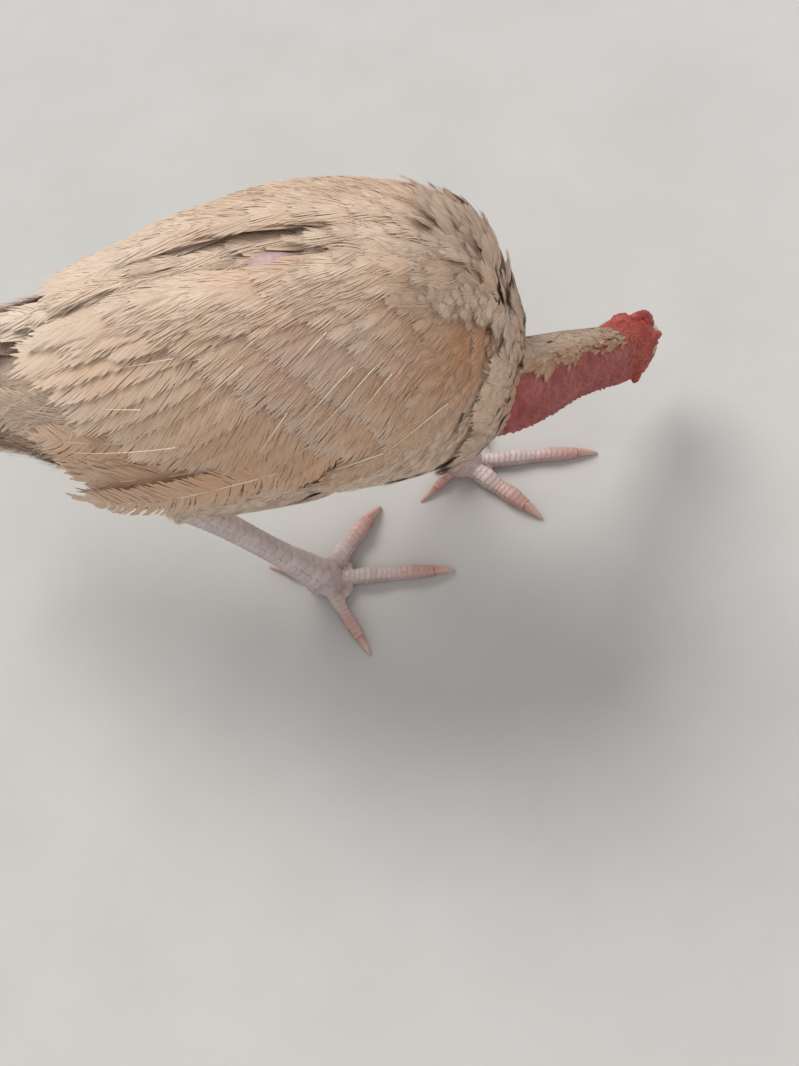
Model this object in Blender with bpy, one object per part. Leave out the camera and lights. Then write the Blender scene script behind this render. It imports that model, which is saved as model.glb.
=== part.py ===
"""A heera aseel hen stooping to feed, life size, as a still model.

The bird looks along +X, its left side is +Y and up is +Z. Sizes in this script are in millimetres, measured
from the floor under the toe joint of the right foot, and put() turns them into metres about ORIGIN.
"""

import math

import bmesh
import bpy
import numpy as np

MM = 0.001
GAP = 0.3
SEED = 11
ORIGIN = (-16.5, 5.5, 0.0)

# Body outline with its feathers and folded wings, front to rear:
# x, y of the middle line, top z, widest z, bottom z, half width
BODY = np.array((
    (114.5, 4.5, 173.0, 156.5, 139.0, 11.0),
    (108.5, 3.0, 196.0, 157.5, 122.0, 29.5),
    (98.5, 2.0, 213.5, 161.5, 109.5, 45.0),
    (80.5, -0.5, 229.5, 165.5, 100.5, 56.5),
    (51.0, -3.5, 238.5, 169.5, 96.5, 65.0),
    (11.5, -8.0, 240.5, 170.5, 97.5, 67.0),
    (-28.0, -12.0, 231.5, 166.5, 103.5, 63.0),
    (-67.5, -13.5, 214.5, 161.0, 118.0, 54.5),
    (-107.0, -12.5, 196.0, 156.5, 137.0, 42.5),
    (-146.5, -9.5, 181.0, 153.0, 149.0, 30.5),
))
# The torso lies inside that outline: its sections, and how deep the recess of the wings and the rear are
TORSO_REAR = -113.0
TORSO_SIDES = 20
TORSO_STATIONS = (114.0, 111.5, 106.5, 98.0, 86.0, 72.0, 54.0, 32.0, 10.0, -12.0, -34.0, -56.0, -78.0, -96.0,
                  TORSO_REAR)
WING_DEPTH = 9.0
REAR_DEPTH = 22.0
WING_FRONT = 110.0
WING_REAR = -104.0
# Share of that depth that the middle of the back is sunk, where the cleft between the wings lies
CLEFT_SHARE = 0.6

NECK_PATH = ((85.0, -9.5, 145.0), (104.5, -2.0, 129.5), (133.0, 32.5, 97.0))
NECK_RADII = (23.0, 21.0, 16.0, 14.6)
HEAD_CENTRE = np.array((162.0, 70.0, 61.0))
BEAK_TIP = np.array((184.5, 104.0, 36.0))
# Head sections: distance along the head towards the beak, half width, height above and below the axis
HEAD = (
    (-24.0, 14.6, 14.6, 14.6),
    (-17.0, 14.8, 16.0, 15.6),
    (-9.0, 15.4, 17.4, 16.0),
    (-1.0, 15.0, 17.2, 15.4),
    (6.0, 13.0, 15.0, 13.6),
    (12.0, 10.0, 11.6, 11.4),
    (16.0, 7.6, 9.0, 9.0),
)
# Beak sections: distance along the head, half width, top and bottom
BEAK_UPPER = (
    (12.0, 8.6, 9.4, -2.2),
    (19.0, 7.2, 8.0, -2.6),
    (26.0, 5.2, 5.6, -3.4),
    (32.0, 3.2, 2.2, -5.2),
    (37.0, 1.0, -3.4, -7.4),
)
BEAK_LOWER = (
    (12.0, 7.8, -2.5, -9.6),
    (19.0, 6.4, -2.9, -8.6),
    (25.0, 4.4, -3.7, -7.8),
    (31.0, 1.6, -5.5, -7.2),
)
EYE_AT = (1.5, 4.0, 9.4)
EYE_RADIUS = 5.4
# The lid ring: radius of its middle line and of its section, how far it stands out past the eye's centre
LID_RADIUS = 5.0
LID_ROUND = (1.3, 1.5)
LID_OUT = 2.6
# Lumps and hollows of the head: place along, above and beside the axis, then half width, height and length
BROW = ((2.0, 10.2, 10.6), (2.8, 2.4, 8.5))
CHEEK = ((-3.0, -5.0, 10.2), (4.2, 6.5, 10.0))
EAR_HOLE = ((-10.0, 0.0, 14.6), (2.4, 2.2, 2.4))
NOSTRIL = ((20.5, 4.2, 6.6), (1.8, 0.9, 2.6))
DEWLAP = ((-4.0, -14.2, 0.0), (2.2, 5.4, 11.0))
WATTLE = ((9.0, -12.0, 5.6), (1.9, 5.0, 4.0))
EARLOBE = ((-11.0, -7.0, 14.2), (2.0, 4.4, 3.0))
# The pea comb: its base, then each row of beads by its place aside, height, bead radius and count
COMB_BASE = ((5.0, 13.2, 0.0), (4.6, 3.4, 12.0))
COMB_ROWS = ((0.0, 16.4, 2.6, 6), (3.4, 14.4, 2.1, 4), (-3.4, 14.4, 2.1, 4))
COMB_SPAN = (-4.0, 14.0)
COMB_DROP = 0.035

# Legs: pad centre, hock, thigh top, then floor angle, length and bend of toes two, three, four and hind
LEGS = {
    "right": {
        "pad": (1.5, -42.0, 8.0),
        "hock": (-49.0, -44.5, 93.0),
        "top": (31.0, -35.0, 139.0),
        "toes": ((61, 54, 0), (7, 71, 0), (-55, 51, 0), (165, 34, 0)),
    },
    "left": {
        "pad": (72.5, 32.0, 8.0),
        "hock": (10.0, 22.0, 84.0),
        "top": (67.0, 22.5, 137.0),
        "toes": ((-36, 56, 0), (7, 75, 0), (60, 57, 28), (-134, 32, 0)),
    },
}
TOE_NAMES = ("2", "3", "4", "hind")
THIGH_RADII = (27.0, 19.0, 9.6)
THIGH_BEND = 0.45
PAD_RADII = (10.8, 10.8, 9.0)
SHANK_RADII = (9.4, 6.8, 6.2, 6.6, 8.4)
TOE_RADII = ((5.4, 6.2), (4.6, 5.0), (4.2, 4.4), (3.4, 3.6))
# A toe narrows by this share to its tip and swells at its joints, and its under side is flat on the floor
TOE_NARROWS = 0.30
TOE_SWELL = 0.05
TOE_SINK = 0.92
CLAW_LENGTH = 11.0
CLAW_HEIGHT = 0.70
CLAW_SIZE = 0.58
CLAW_TIP = 0.3
HOCK_DEPTH = 6.0
SHANK_SCUTES = 10
TOE_SCUTES = 5
SCUTE_RISE = 0.13

# Half width of a vane from root to tip as a share of its greatest, and how much its middle stands proud
VANE_SHAPE = ((0.0, 0.25, 0.6, 0.85, 1.0), (0.42, 0.9, 1.0, 0.86, 0.34))
VANE_CROWN = 0.07
VANE_THICKNESS = 0.65

# Tiers of a wing, from the deepest to the outermost. Each runs from its lowest feather to its highest
TIER_KEYS = ("count", "x", "turn", "bow", "heading", "curl", "length", "width", "lift", "roll")
WING_TIERS = {
    "primary": (4, (70, 16), (84, 71), 0, (12, 0), (-16, -2), (164, 112), (17, 18), (-7.4, -5.0), 16),
    "secondary": (7, (62, 4), (56, 22), 4, (50, 5), (-22, -4), (78, 106), (23, 23), (-6.0, -2.2), 12),
    "tertial": (3, (36, 8), (17, 12), 0, (10, 1), (-4, -2), (86, 98), (20, 20), (-6.6, -1.4), 12),
    "greater": (6, (78, 26), (57, 18), 8, (52, 8), (-14, 0), (42, 50), (19, 19), (-5.4, -1.0), 12),
    "median": (5, (88, 46), (56, 15), 12, (54, 10), (-10, 0), (33, 38), (18, 19), (-5.2, -0.2), 12),
    "lesser": (6, (93, 69), (55, 12), 18, (52, 14), (-6, 0), (25, 29), (17, 17), (-5.0, 0.4), 10),
}
# The front edge of a wing: angle from the middle of the back, x
WING_EDGE = ((2, 72), (12, 95), (26, 109), (42, 110), (56, 106), (72, 92), (93, 60))
# A wing's core: how deep its top and under side lie in the outline, its long edges on each side, its rear edge
CORE_TOP = 4.2
CORE_UNDER = 9.7
CORE_RIM = {1: (5.0, 93.0), -1: (2.0, 93.0)}
CORE_REAR = (-20.0, 25.0)
CORE_EDGE = 0.4

# The tail: pairs of feathers, how far each lies beside and below the last, its roll, and the root block
TAIL_PAIRS = 6
TAIL_PITCH = 6.0
TAIL_LAYER = 1.3
TAIL_ROLL_STEP = 5.0
TAIL_BLOCK = 0.42
TAIL_START = 24.0
TAIL_SPREAD = (0.8, 1.1)
TAIL_SAG = 3.0
TAIL_TIP = (-214.0, 0.5, 145.0)
TAIL_WIDTH = 20.0
TAIL_RISE = 6.0
# Coverts lie over these quills: their start, rise, length as a share of the tail, width and lift
TAIL_COVERTS = (1, 3, 5)
TAIL_COVER = (4.0, 8.0, 0.55, 22.0, 3.2)

BUFF = (0.62, 0.43, 0.28)
PALE_BUFF = (0.68, 0.52, 0.36)
BARE_SKIN = (0.42, 0.13, 0.12)
RED_SKIN = (0.50, 0.07, 0.06)
SCUTE = (0.55, 0.46, 0.43)
HORN = (0.66, 0.56, 0.42)
EYE_COLOUR = (0.35, 0.30, 0.22)


def unit(v):
    v = np.asarray(v, float)
    return v / np.linalg.norm(v, axis=-1, keepdims=True)


def spline(xs, ys, x):
    """A smooth curve through the points (xs, ys), read at x."""
    xs = np.asarray(xs, float)
    ys = np.asarray(ys, float)
    if xs[0] > xs[-1]:
        xs, ys = xs[::-1], ys[::-1]
    slopes = np.gradient(ys, xs, axis=0)
    x = np.clip(np.asarray(x, float), xs[0], xs[-1])
    k = np.clip(np.searchsorted(xs, x, side="right") - 1, 0, len(xs) - 2)
    step = xs[k + 1] - xs[k]
    t = (x - xs[k]) / step
    if ys.ndim > 1:
        t, step = t[..., None], step[..., None]
    return ((1 + 2 * t) * (1 - t) ** 2 * ys[k] + t * (1 - t) ** 2 * step * slopes[k]
            + t * t * (3 - 2 * t) * ys[k + 1] + t * t * (t - 1) * step * slopes[k + 1])


def ease(low, high, x):
    t = np.clip((np.asarray(x, float) - low) / (high - low), 0.0, 1.0)
    return t * t * (3 - 2 * t)


def outline(x, turn):
    """A point of the body's outline: turn is the angle from the middle of the back, right positive."""
    x, turn = np.broadcast_arrays(np.asarray(x, float), np.asarray(turn, float))
    middle, top, wide, bottom, half = np.moveaxis(spline(BODY[:, 0], BODY[:, 1:], x), -1, 0)
    c = np.cos(np.radians(turn))
    s = np.sin(np.radians(turn))
    height = np.where(c > 0, (top - wide) * c, (wide - bottom) * c)
    return np.stack((x, middle - half * s, wide + height), axis=-1)


def outline_frame(x, turn):
    """The slopes of the outline along x and turn, and its outward normal."""
    along = (outline(np.asarray(x) + 0.5, turn) - outline(np.asarray(x) - 0.5, turn))
    around = (outline(x, np.asarray(turn) + 0.5) - outline(x, np.asarray(turn) - 0.5))
    return along, around, unit(np.cross(around, along))


def chart(x, turn, lift=0.0):
    return outline(x, turn) + np.asarray(lift, float)[..., None] * outline_frame(x, turn)[2]


def torso_inset(x, turn):
    """How far the torso lies inside the outline, which leaves room for the folded wings and their cleft."""
    side = np.abs(turn)
    depth = WING_DEPTH + (REAR_DEPTH - WING_DEPTH) * (1 - ease(WING_REAR - 5, -40, x))
    cleft = CLEFT_SHARE * ease(-70, -30, x) * (1 - ease(60, 84, x))
    return (depth * (1 - ease(WING_FRONT - 2, WING_FRONT + 6, x)) * (cleft + (1 - cleft) * ease(2, 9, side))
            * (1 - 0.6 * ease(100, 116, side) - 0.4 * ease(125, 150, side)))


def torso_ring(x):
    """A section of the torso, flat and upright but for the front, where it follows the outline's slope."""
    turn = np.arange(TORSO_SIDES) * 360 / TORSO_SIDES - 180
    xs = np.full(TORSO_SIDES, x)
    points = outline(xs, turn)
    sideways = unit(points.mean(axis=0) - points)
    square = -outline_frame(xs, turn)[2]
    front = ease(30, 70, x)
    return points + unit((1 - front) * sideways + front * square) * torso_inset(xs, turn)[:, None]


def walk(side, x, turn, heading, length, steps, curl):
    """Follows the outline from a root: heading 0 runs to the rear, 90 runs down, and curl is added on the way.

    Returns the points, the way across towards the lower edge, and the outward normals.
    """
    found = []
    pace = length / steps
    for k in range(steps + 1):
        along, around, normal = outline_frame(x, side * turn)
        around = side * around
        back = -unit(along)
        down = unit(around - (around @ back) * back)
        angle = math.radians(heading + curl * k / steps)
        ahead = math.cos(angle) * back + math.sin(angle) * down
        found.append((outline(x, side * turn), side * np.cross(normal, ahead), normal))
        move = np.linalg.lstsq(np.stack((along, around), axis=1), ahead * pace, rcond=None)[0]
        x, turn = x + move[0], turn + move[1]
    return [np.array(part) for part in zip(*found)]


def vane(points, across, normal, width, roll, ridge):
    """A closed feather vane along a path, narrow at root and tip, rolled so that its lower edge stands out."""
    steps = len(points) - 1
    t = np.linspace(0, 1, steps + 1)
    half = 0.5 * width * np.interp(t, *VANE_SHAPE)
    tilt = math.radians(roll)
    side = math.cos(tilt) * across + math.sin(tilt) * normal
    rise = math.cos(tilt) * normal - math.sin(tilt) * across
    deep = 0.5 * VANE_THICKNESS * np.interp(t, (0, 0.8, 1), (1, 1, 0.6))
    rings = []
    for p, s, r, h, d in zip(points, side, rise, half, deep):
        middle = [p + r * VANE_CROWN * h] if ridge else []
        line = [p + s * h, *middle, p - s * h]
        rings.append([q + r * d for q in line] + [q - r * d for q in line[::-1]])
    n = len(rings[0])
    faces = []
    for k in range(steps):
        for i in range(n):
            a, b = k * n + i, k * n + (i + 1) % n
            c, e = b + n, a + n
            # the lower half of a ring is split the other way round, so that both faces have like triangles
            faces += [(a, b, c), (a, c, e)] if i < n // 2 else [(a, b, e), (b, c, e)]
    last = steps * n
    for k in range(n // 2 - 1):
        a, b, c, e = k, k + 1, n - 2 - k, n - 1 - k
        faces += [(a, e, c), (a, c, b), (last + a, last + c, last + e), (last + a, last + b, last + c)]
    return np.array(rings).reshape(-1, 3), faces


def loft(rings, start=None, end=None):
    """A closed tube through rings of equal count, closed by fans to the points start and end."""
    rings = [np.asarray(r, float) for r in rings]
    n = len(rings[0])
    start = rings[0].mean(axis=0) if start is None else np.asarray(start, float)
    end = rings[-1].mean(axis=0) if end is None else np.asarray(end, float)
    points = np.vstack(rings + [start[None], end[None]])
    first, last = len(points) - 2, len(points) - 1
    base = n * (len(rings) - 1)
    faces = []
    for i in range(n):
        j = (i + 1) % n
        faces.append((first, j, i))
        faces.append((last, base + i, base + j))
        for k in range(0, base, n):
            faces.append((k + i, k + j, k + n + j))
            faces.append((k + i, k + n + j, k + n + i))
    return points, faces


def slab(top, bottom):
    """A closed plate between two grids of points of the same size, split alike on both faces."""
    rows, cols = top.shape[:2]
    points = np.vstack((top.reshape(-1, 3), bottom.reshape(-1, 3)))
    under = rows * cols
    faces = []
    for i in range(rows - 1):
        for j in range(cols - 1):
            a, b, c, d = i * cols + j, i * cols + j + 1, (i + 1) * cols + j + 1, (i + 1) * cols + j
            faces += [(a, b, c), (a, c, d)]
            faces += [(under + c, under + b, under + a), (under + d, under + c, under + a)]
    rim = list(range(cols)) + [i * cols + cols - 1 for i in range(1, rows)]
    rim += [(rows - 1) * cols + j for j in range(cols - 2, -1, -1)]
    rim += [i * cols for i in range(rows - 2, 0, -1)]
    for a, b in zip(rim, rim[1:] + rim[:1]):
        faces += [(b, a, under + a), (b, under + a, under + b)]
    return points, faces


def ring(centre, side, up, half, above, below, count, floor=None):
    """An oval ring of points round centre."""
    angles = np.arange(count) * math.tau / count
    rise = np.where(np.sin(angles) > 0, above, below) * np.sin(angles)
    points = centre + np.outer(np.cos(angles) * half, side) + np.outer(rise, up)
    if floor is not None:
        points[:, 2] = np.maximum(points[:, 2], floor)
    return points


def ball(centre, radii, axes=np.eye(3), rows=6, count=12, floor=None):
    """A closed rounded lump with its own three axes."""
    rings = []
    for k in range(1, rows):
        a = math.pi * k / rows
        half, tall = radii[0] * math.sin(a), radii[1] * math.sin(a)
        middle = centre - radii[2] * math.cos(a) * axes[2]
        rings.append(ring(middle, axes[0], axes[1], half, tall, tall, count, floor))
    low = centre - radii[2] * axes[2]
    high = centre + radii[2] * axes[2]
    if floor is not None:
        low, high = (np.array((p[0], p[1], max(p[2], floor))) for p in (low, high))
    return loft(rings, low, high)


def tube(path, halves, aboves, belows, count, up=(0.0, 0.0, 1.0), floor=None, start=None, end=None):
    """A closed tube along a path with oval sections."""
    path = np.asarray(path, float)
    ahead = unit(np.gradient(path, axis=0))
    side = unit(np.cross(ahead, up))
    rise = unit(np.cross(side, ahead))
    rings = [ring(p, s, u, h, a, b, count, floor)
             for p, s, u, h, a, b in zip(path, side, rise, halves, aboves, belows)]
    return loft(rings, start, end)


def scute_steps(count):
    """Places along a leg or toe, with how far each plate stands out there: every plate ends in a step."""
    edges = np.linspace(0, 1, count + 1)
    lip = 0.06 / count
    places = np.stack((edges[:-1] + lip, edges[1:] - lip), axis=1).ravel()
    return places, np.tile((1.0, 0.15), count)


def path_at(points, t):
    """Points of the smooth path through points, t running from 0 to 1."""
    return spline(np.linspace(0, 1, len(points)), np.asarray(points, float), t)


def path_through(points, steps):
    return path_at(points, np.linspace(0, 1, steps))


def put(name, shape, collection=None):
    """Makes an object from points in millimetres."""
    points, faces = shape
    mesh = bpy.data.meshes.new(name)
    mesh.from_pydata(((np.asarray(points) - ORIGIN) * MM).tolist(), [], faces)
    mesh.update()
    work = bmesh.new()
    work.from_mesh(mesh)
    bmesh.ops.remove_doubles(work, verts=work.verts, dist=2e-6)
    bmesh.ops.recalc_face_normals(work, faces=work.faces)
    if work.calc_volume(signed=True) < 0:
        bmesh.ops.reverse_faces(work, faces=work.faces)
    work.to_mesh(mesh)
    work.free()
    obj = bpy.data.objects.new(name, mesh)
    (collection or bpy.context.scene.collection).objects.link(obj)
    return obj


def apply_modifiers(obj):
    depsgraph = bpy.context.evaluated_depsgraph_get()
    mesh = bpy.data.meshes.new_from_object(obj.evaluated_get(depsgraph))
    obj.modifiers.clear()
    old = obj.data
    obj.data = mesh
    bpy.data.meshes.remove(old)


def keep_largest(obj):
    """Leaves only the closed surface of the greatest volume."""
    work = bmesh.new()
    work.from_mesh(obj.data)
    bmesh.ops.triangulate(work, faces=work.faces)
    left = set(work.faces)
    shells = []
    while left:
        stack = [left.pop()]
        shell = []
        while stack:
            face = stack.pop()
            shell.append(face)
            for edge in face.edges:
                for other in edge.link_faces:
                    if other in left:
                        left.remove(other)
                        stack.append(other)
        volume = sum(f.verts[0].co.dot(f.verts[1].co.cross(f.verts[2].co)) / 6 for f in shell)
        shells.append((volume, shell))
    shells.sort(key=lambda item: item[0])
    for _, shell in shells[:-1]:
        bmesh.ops.delete(work, geom=shell, context="FACES")
    loose = [v for v in work.verts if not v.link_faces]
    bmesh.ops.delete(work, geom=loose, context="VERTS")
    bmesh.ops.dissolve_degenerate(work, edges=work.edges, dist=2e-6)
    bmesh.ops.triangulate(work, faces=work.faces)
    work.to_mesh(obj.data)
    work.free()


def fuse(name, shapes):
    """Joins closed shapes into one body."""
    obj = put(name, shapes[0])
    if len(shapes) > 1:
        pieces = bpy.data.collections.new(name + "_pieces")
        bpy.context.scene.collection.children.link(pieces)
        for number, shape in enumerate(shapes[1:]):
            put(f"{name}_piece_{number}", shape, pieces)
        union = obj.modifiers.new("union", "BOOLEAN")
        union.operation = "UNION"
        union.operand_type = "COLLECTION"
        union.collection = pieces
        union.solver = "MANIFOLD"
        apply_modifiers(obj)
        for piece in list(pieces.objects):
            bpy.data.objects.remove(piece)
        bpy.data.collections.remove(pieces)
    keep_largest(obj)
    return obj


def cut(obj, shape):
    """Takes a closed shape out of a body."""
    subtract(obj, put("cutter", shape))


def subtract(obj, tool):
    take = obj.modifiers.new("difference", "BOOLEAN")
    take.operation = "DIFFERENCE"
    take.object = tool
    take.solver = "MANIFOLD"
    apply_modifiers(obj)
    bpy.data.objects.remove(tool)
    keep_largest(obj)


def clear_of(obj, *others):
    """Cuts a body back to GAP from its neighbours, so that they meet face to face."""
    for other in others:
        tool = bpy.data.objects.new("cutter", other.data.copy())
        bpy.context.scene.collection.objects.link(tool)
        normals = [v.normal.copy() for v in tool.data.vertices]
        for vertex, normal in zip(tool.data.vertices, normals):
            vertex.co += normal * GAP * 1.15 * MM
        subtract(obj, tool)


def finish(obj, colour, roughness):
    """Gives a node its own material, and smooth shading between sharp edges."""
    material = bpy.data.materials.new(obj.name)
    material.use_nodes = True
    shader = material.node_tree.nodes["Principled BSDF"]
    shader.inputs["Base Color"].default_value = (*colour, 1.0)
    shader.inputs["Roughness"].default_value = roughness
    shader.inputs["Metallic"].default_value = 0.0
    obj.data.materials.clear()
    obj.data.materials.append(material)
    obj.data.shade_smooth()
    obj.data.set_sharp_from_angle(angle=math.radians(40))
    return obj


def make_torso():
    rings = [torso_ring(x) for x in TORSO_STATIONS]
    nose = rings[0].mean(axis=0) + (1.2, 0, 0)
    return finish(fuse("torso", [loft(rings, nose)]), BUFF, 0.8)


def wing_core(side):
    """The folded arm and hand with their flesh: a plate thick at the shoulder that thins to its rear edge."""
    u, v = np.meshgrid(np.linspace(0, 1, 7), np.linspace(0, 1, 7), indexing="ij")
    turn = np.interp(v, (0, 1), CORE_RIM[side])
    front = spline(*zip(*WING_EDGE), turn)
    rear = np.interp(v, (0, 1), CORE_REAR)
    x = front + (rear - front) * u
    turn = side * turn
    long_edges = np.minimum(1, 4 * np.minimum(v, 1 - v))
    swell = np.sqrt(long_edges * np.minimum(1, 5 * u) * np.minimum(1, 1.6 * (1 - u)))
    middle = -0.5 * (CORE_UNDER + CORE_TOP)
    half = CORE_EDGE + (0.5 * (CORE_UNDER - CORE_TOP) - CORE_EDGE) * swell
    top = chart(x, turn, middle + half)
    low = chart(x, turn, middle - half)
    return slab(top, low) if side > 0 else slab(top[:, ::-1], low[:, ::-1])


def wing_feathers(side):
    """The flight feathers and their coverts as overlapping vanes, tier by tier."""
    shapes = []
    for number, (name, values) in enumerate(WING_TIERS.items()):
        tier = dict(zip(TIER_KEYS, values))
        draw = np.random.default_rng(SEED + number * 2 + (side > 0))
        long = name in ("secondary", "tertial")
        steps = 5 if long else 4
        rise = (1 - (1 - np.linspace(0, 1, steps + 1)) ** 2)[:, None]
        lift = tier["lift"][0] + (tier["lift"][1] - tier["lift"][0]) * rise
        for t in np.linspace(0, 1, tier["count"]):
            x, turn, heading, curl, length, width = (
                tier[key][0] + (tier[key][1] - tier[key][0]) * t
                for key in ("x", "turn", "heading", "curl", "length", "width"))
            x += tier["bow"] * 4 * t * (1 - t)
            length *= draw.uniform(0.96, 1.04)
            heading += draw.uniform(-1.5, 1.5)
            points, across, normal = walk(side, x, turn, heading, length, steps, curl)
            shapes.append(vane(points + normal * lift, across, normal, width, tier["roll"], long))
    return shapes


def make_wing(name, side, *others):
    obj = fuse(name, [wing_core(side)] + wing_feathers(side))
    clear_of(obj, *others)
    return finish(obj, BUFF, 0.75)


def tail_places():
    """Where each tail feather of one side lies in the tail's cross-section: across, up, and its roll."""
    across, up, roll = 2.2, 0.0, 14.0
    for _ in range(TAIL_PAIRS):
        yield across, up, roll
        a = math.radians(roll)
        across += TAIL_PITCH * math.cos(a) - TAIL_LAYER * math.sin(a)
        up -= TAIL_PITCH * math.sin(a) + TAIL_LAYER * math.cos(a)
        roll += TAIL_ROLL_STEP


def tail_vane(start, axis, side, place, length, width, lift, steps, ridge):
    """One tail feather that starts at its place in the tail's root and spreads outwards."""
    across, up, roll = place
    lateral = np.array((0.0, -side, 0.0))
    upward = unit(np.cross(np.cross(axis, (0.0, 0.0, 1.0)), axis))
    t = np.linspace(0, 1, steps + 1)[:, None]
    wide = TAIL_SPREAD[0] + (TAIL_SPREAD[1] - TAIL_SPREAD[0]) * t
    height = up * wide + lift - TAIL_SAG * t * t
    points = start + axis * length * t + lateral * across * wide + upward * height
    laterals = np.tile(lateral, (steps + 1, 1))
    upwards = np.tile(upward, (steps + 1, 1))
    return vane(points, laterals, upwards, width, -roll, ridge)


def make_tail():
    """The root of the tail with its twelve quills, fanned as a low tent, and a tier of coverts over them."""
    base = torso_ring(TORSO_REAR) - (GAP, 0.0, 0.0)
    centre = base.mean(axis=0)
    reach = np.linalg.norm(np.array(TAIL_TIP) - centre)
    axis = (TAIL_TIP - centre) / reach
    rings = []
    for t in np.linspace(0, TAIL_BLOCK, 4):
        shrink = 1 - 0.75 * (t / TAIL_BLOCK) ** 1.3
        rings.append(centre + axis * reach * t + (base - centre) * (1.0, shrink, shrink))
    shapes = [loft(rings)]
    draw = np.random.default_rng(SEED)
    start, rise, share, width, lift = TAIL_COVER
    for side in (1, -1):
        for k, place in enumerate(tail_places()):
            length = (reach - TAIL_START) * (1 - 0.018 * k) * draw.uniform(0.98, 1.02)
            root = centre + axis * TAIL_START + (0, 0, TAIL_RISE)
            shapes.append(tail_vane(root, axis, side, place, length, TAIL_WIDTH, 0.0, 4, True))
            if k in TAIL_COVERTS:
                root = centre + axis * start + (0, 0, rise)
                over = lift + 0.3 * k
                shapes.append(tail_vane(root, axis, side, place, reach * share, width, over, 4, False))
    return finish(fuse("tail", shapes), PALE_BUFF, 0.75)


def head_axes():
    """The head's own directions: right, up and ahead along the beak."""
    ahead = unit(BEAK_TIP - HEAD_CENTRE)
    right = unit(np.cross(ahead, (0.0, 0.0, 1.0)))
    return np.array((right, np.cross(right, ahead), ahead))


def on_head(along, above, aside):
    right, up, ahead = head_axes()
    return HEAD_CENTRE + along * ahead + above * up + aside * right


def lump(form, side=1, rows=5, count=8):
    """A rounded lump or hollow of the head, mirrored to the left side by side -1."""
    (along, above, aside), radii = form
    return ball(on_head(along, above, side * aside), radii, head_axes(), rows, count)


def lid_ring(side, count=12, around=5):
    """A rounded ring of skin round the eye."""
    right, up, ahead = head_axes()
    centre = on_head(EYE_AT[0], EYE_AT[1], side * (EYE_AT[2] + LID_OUT))
    flat, deep = LID_ROUND
    rings = []
    for a in np.arange(count) * math.tau / count:
        way = math.cos(a) * ahead * 1.15 + math.sin(a) * up
        rings.append([centre + way * (LID_RADIUS + flat * math.cos(b)) + side * right * deep * math.sin(b)
                      for b in np.arange(around) * math.tau / around])
    return torus(np.array(rings))


def torus(rings):
    """A closed ring of rings."""
    count, around = rings.shape[:2]
    faces = []
    for k in range(count):
        for i in range(around):
            a, b = k * around + i, k * around + (i + 1) % around
            c, d = (k + 1) % count * around + (i + 1) % around, (k + 1) % count * around + i
            faces += [(a, b, c), (a, c, d)]
    return rings.reshape(-1, 3), faces


def make_head():
    """The head with its brows, cheeks, lid rings and ear hollows, and the two eyes set in it."""
    right, up, _ = head_axes()
    rings = [ring(on_head(t, 0, 0), right, up, half, above, below, 20) for t, half, above, below in HEAD]
    shapes = [loft(rings)]
    for side in (1, -1):
        shapes += [lump(BROW, side), lump(CHEEK, side), lid_ring(side)]
    head = fuse("head", shapes)
    for side, name in ((1, "eye_right"), (-1, "eye_left")):
        eye = fuse(name, [lump((EYE_AT, (EYE_RADIUS,) * 3), side, 6, 12)])
        clear_of(head, eye)
        finish(eye, EYE_COLOUR, 0.15)
        cut(head, lump(EAR_HOLE, side, 4, 6))
    return finish(head, RED_SKIN, 0.6)


def beak_half(table):
    right, up, _ = head_axes()
    rings = []
    for t, half, high, low in table:
        tall = 0.5 * (high - low)
        rings.append(ring(on_head(t, 0.5 * (high + low), 0), right, up, half, tall, tall, 12))
    return loft(rings)


def make_beaks(head):
    """The two halves of the beak, parted along the line of the mouth."""
    upper = fuse("beak_upper", [beak_half(BEAK_UPPER)])
    lower = fuse("beak_lower", [beak_half(BEAK_LOWER)])
    for side in (1, -1):
        cut(upper, lump(NOSTRIL, side, 4, 6))
    clear_of(lower, upper, head)
    clear_of(upper, head)
    return finish(upper, HORN, 0.4), finish(lower, HORN, 0.4)


def make_comb(head, upper):
    """A pea comb: three low rows of beads, the middle one highest."""
    shapes = [lump(COMB_BASE, rows=6, count=10)]
    first, last = COMB_SPAN
    for aside, height, radius, count in COMB_ROWS:
        for k in range(count):
            t = first + (last - first) * (k + 0.5) / count
            drop = COMB_DROP * max(0.0, t - 2.0) ** 2
            shapes.append(lump(((t, height - drop, aside), (radius, radius * 1.25, radius * 1.05)), 1, 4, 6))
    comb = fuse("comb", shapes)
    clear_of(comb, head, upper)
    return finish(comb, RED_SKIN, 0.5)


def make_folds(head, lower, neck):
    """The dewlap, the small wattles and the earlobes, each a fold of skin that hangs from the head."""
    dewlap = fuse("dewlap", [lump(DEWLAP, rows=6)])
    clear_of(dewlap, head, neck)
    finish(dewlap, RED_SKIN, 0.5)
    for side, name in ((1, "right"), (-1, "left")):
        wattle = fuse("wattle_" + name, [lump(WATTLE, side)])
        clear_of(wattle, head, lower, dewlap)
        finish(wattle, RED_SKIN, 0.5)
        lobe = fuse("earlobe_" + name, [lump(EARLOBE, side)])
        clear_of(lobe, head, neck)
        finish(lobe, RED_SKIN, 0.5)


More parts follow.
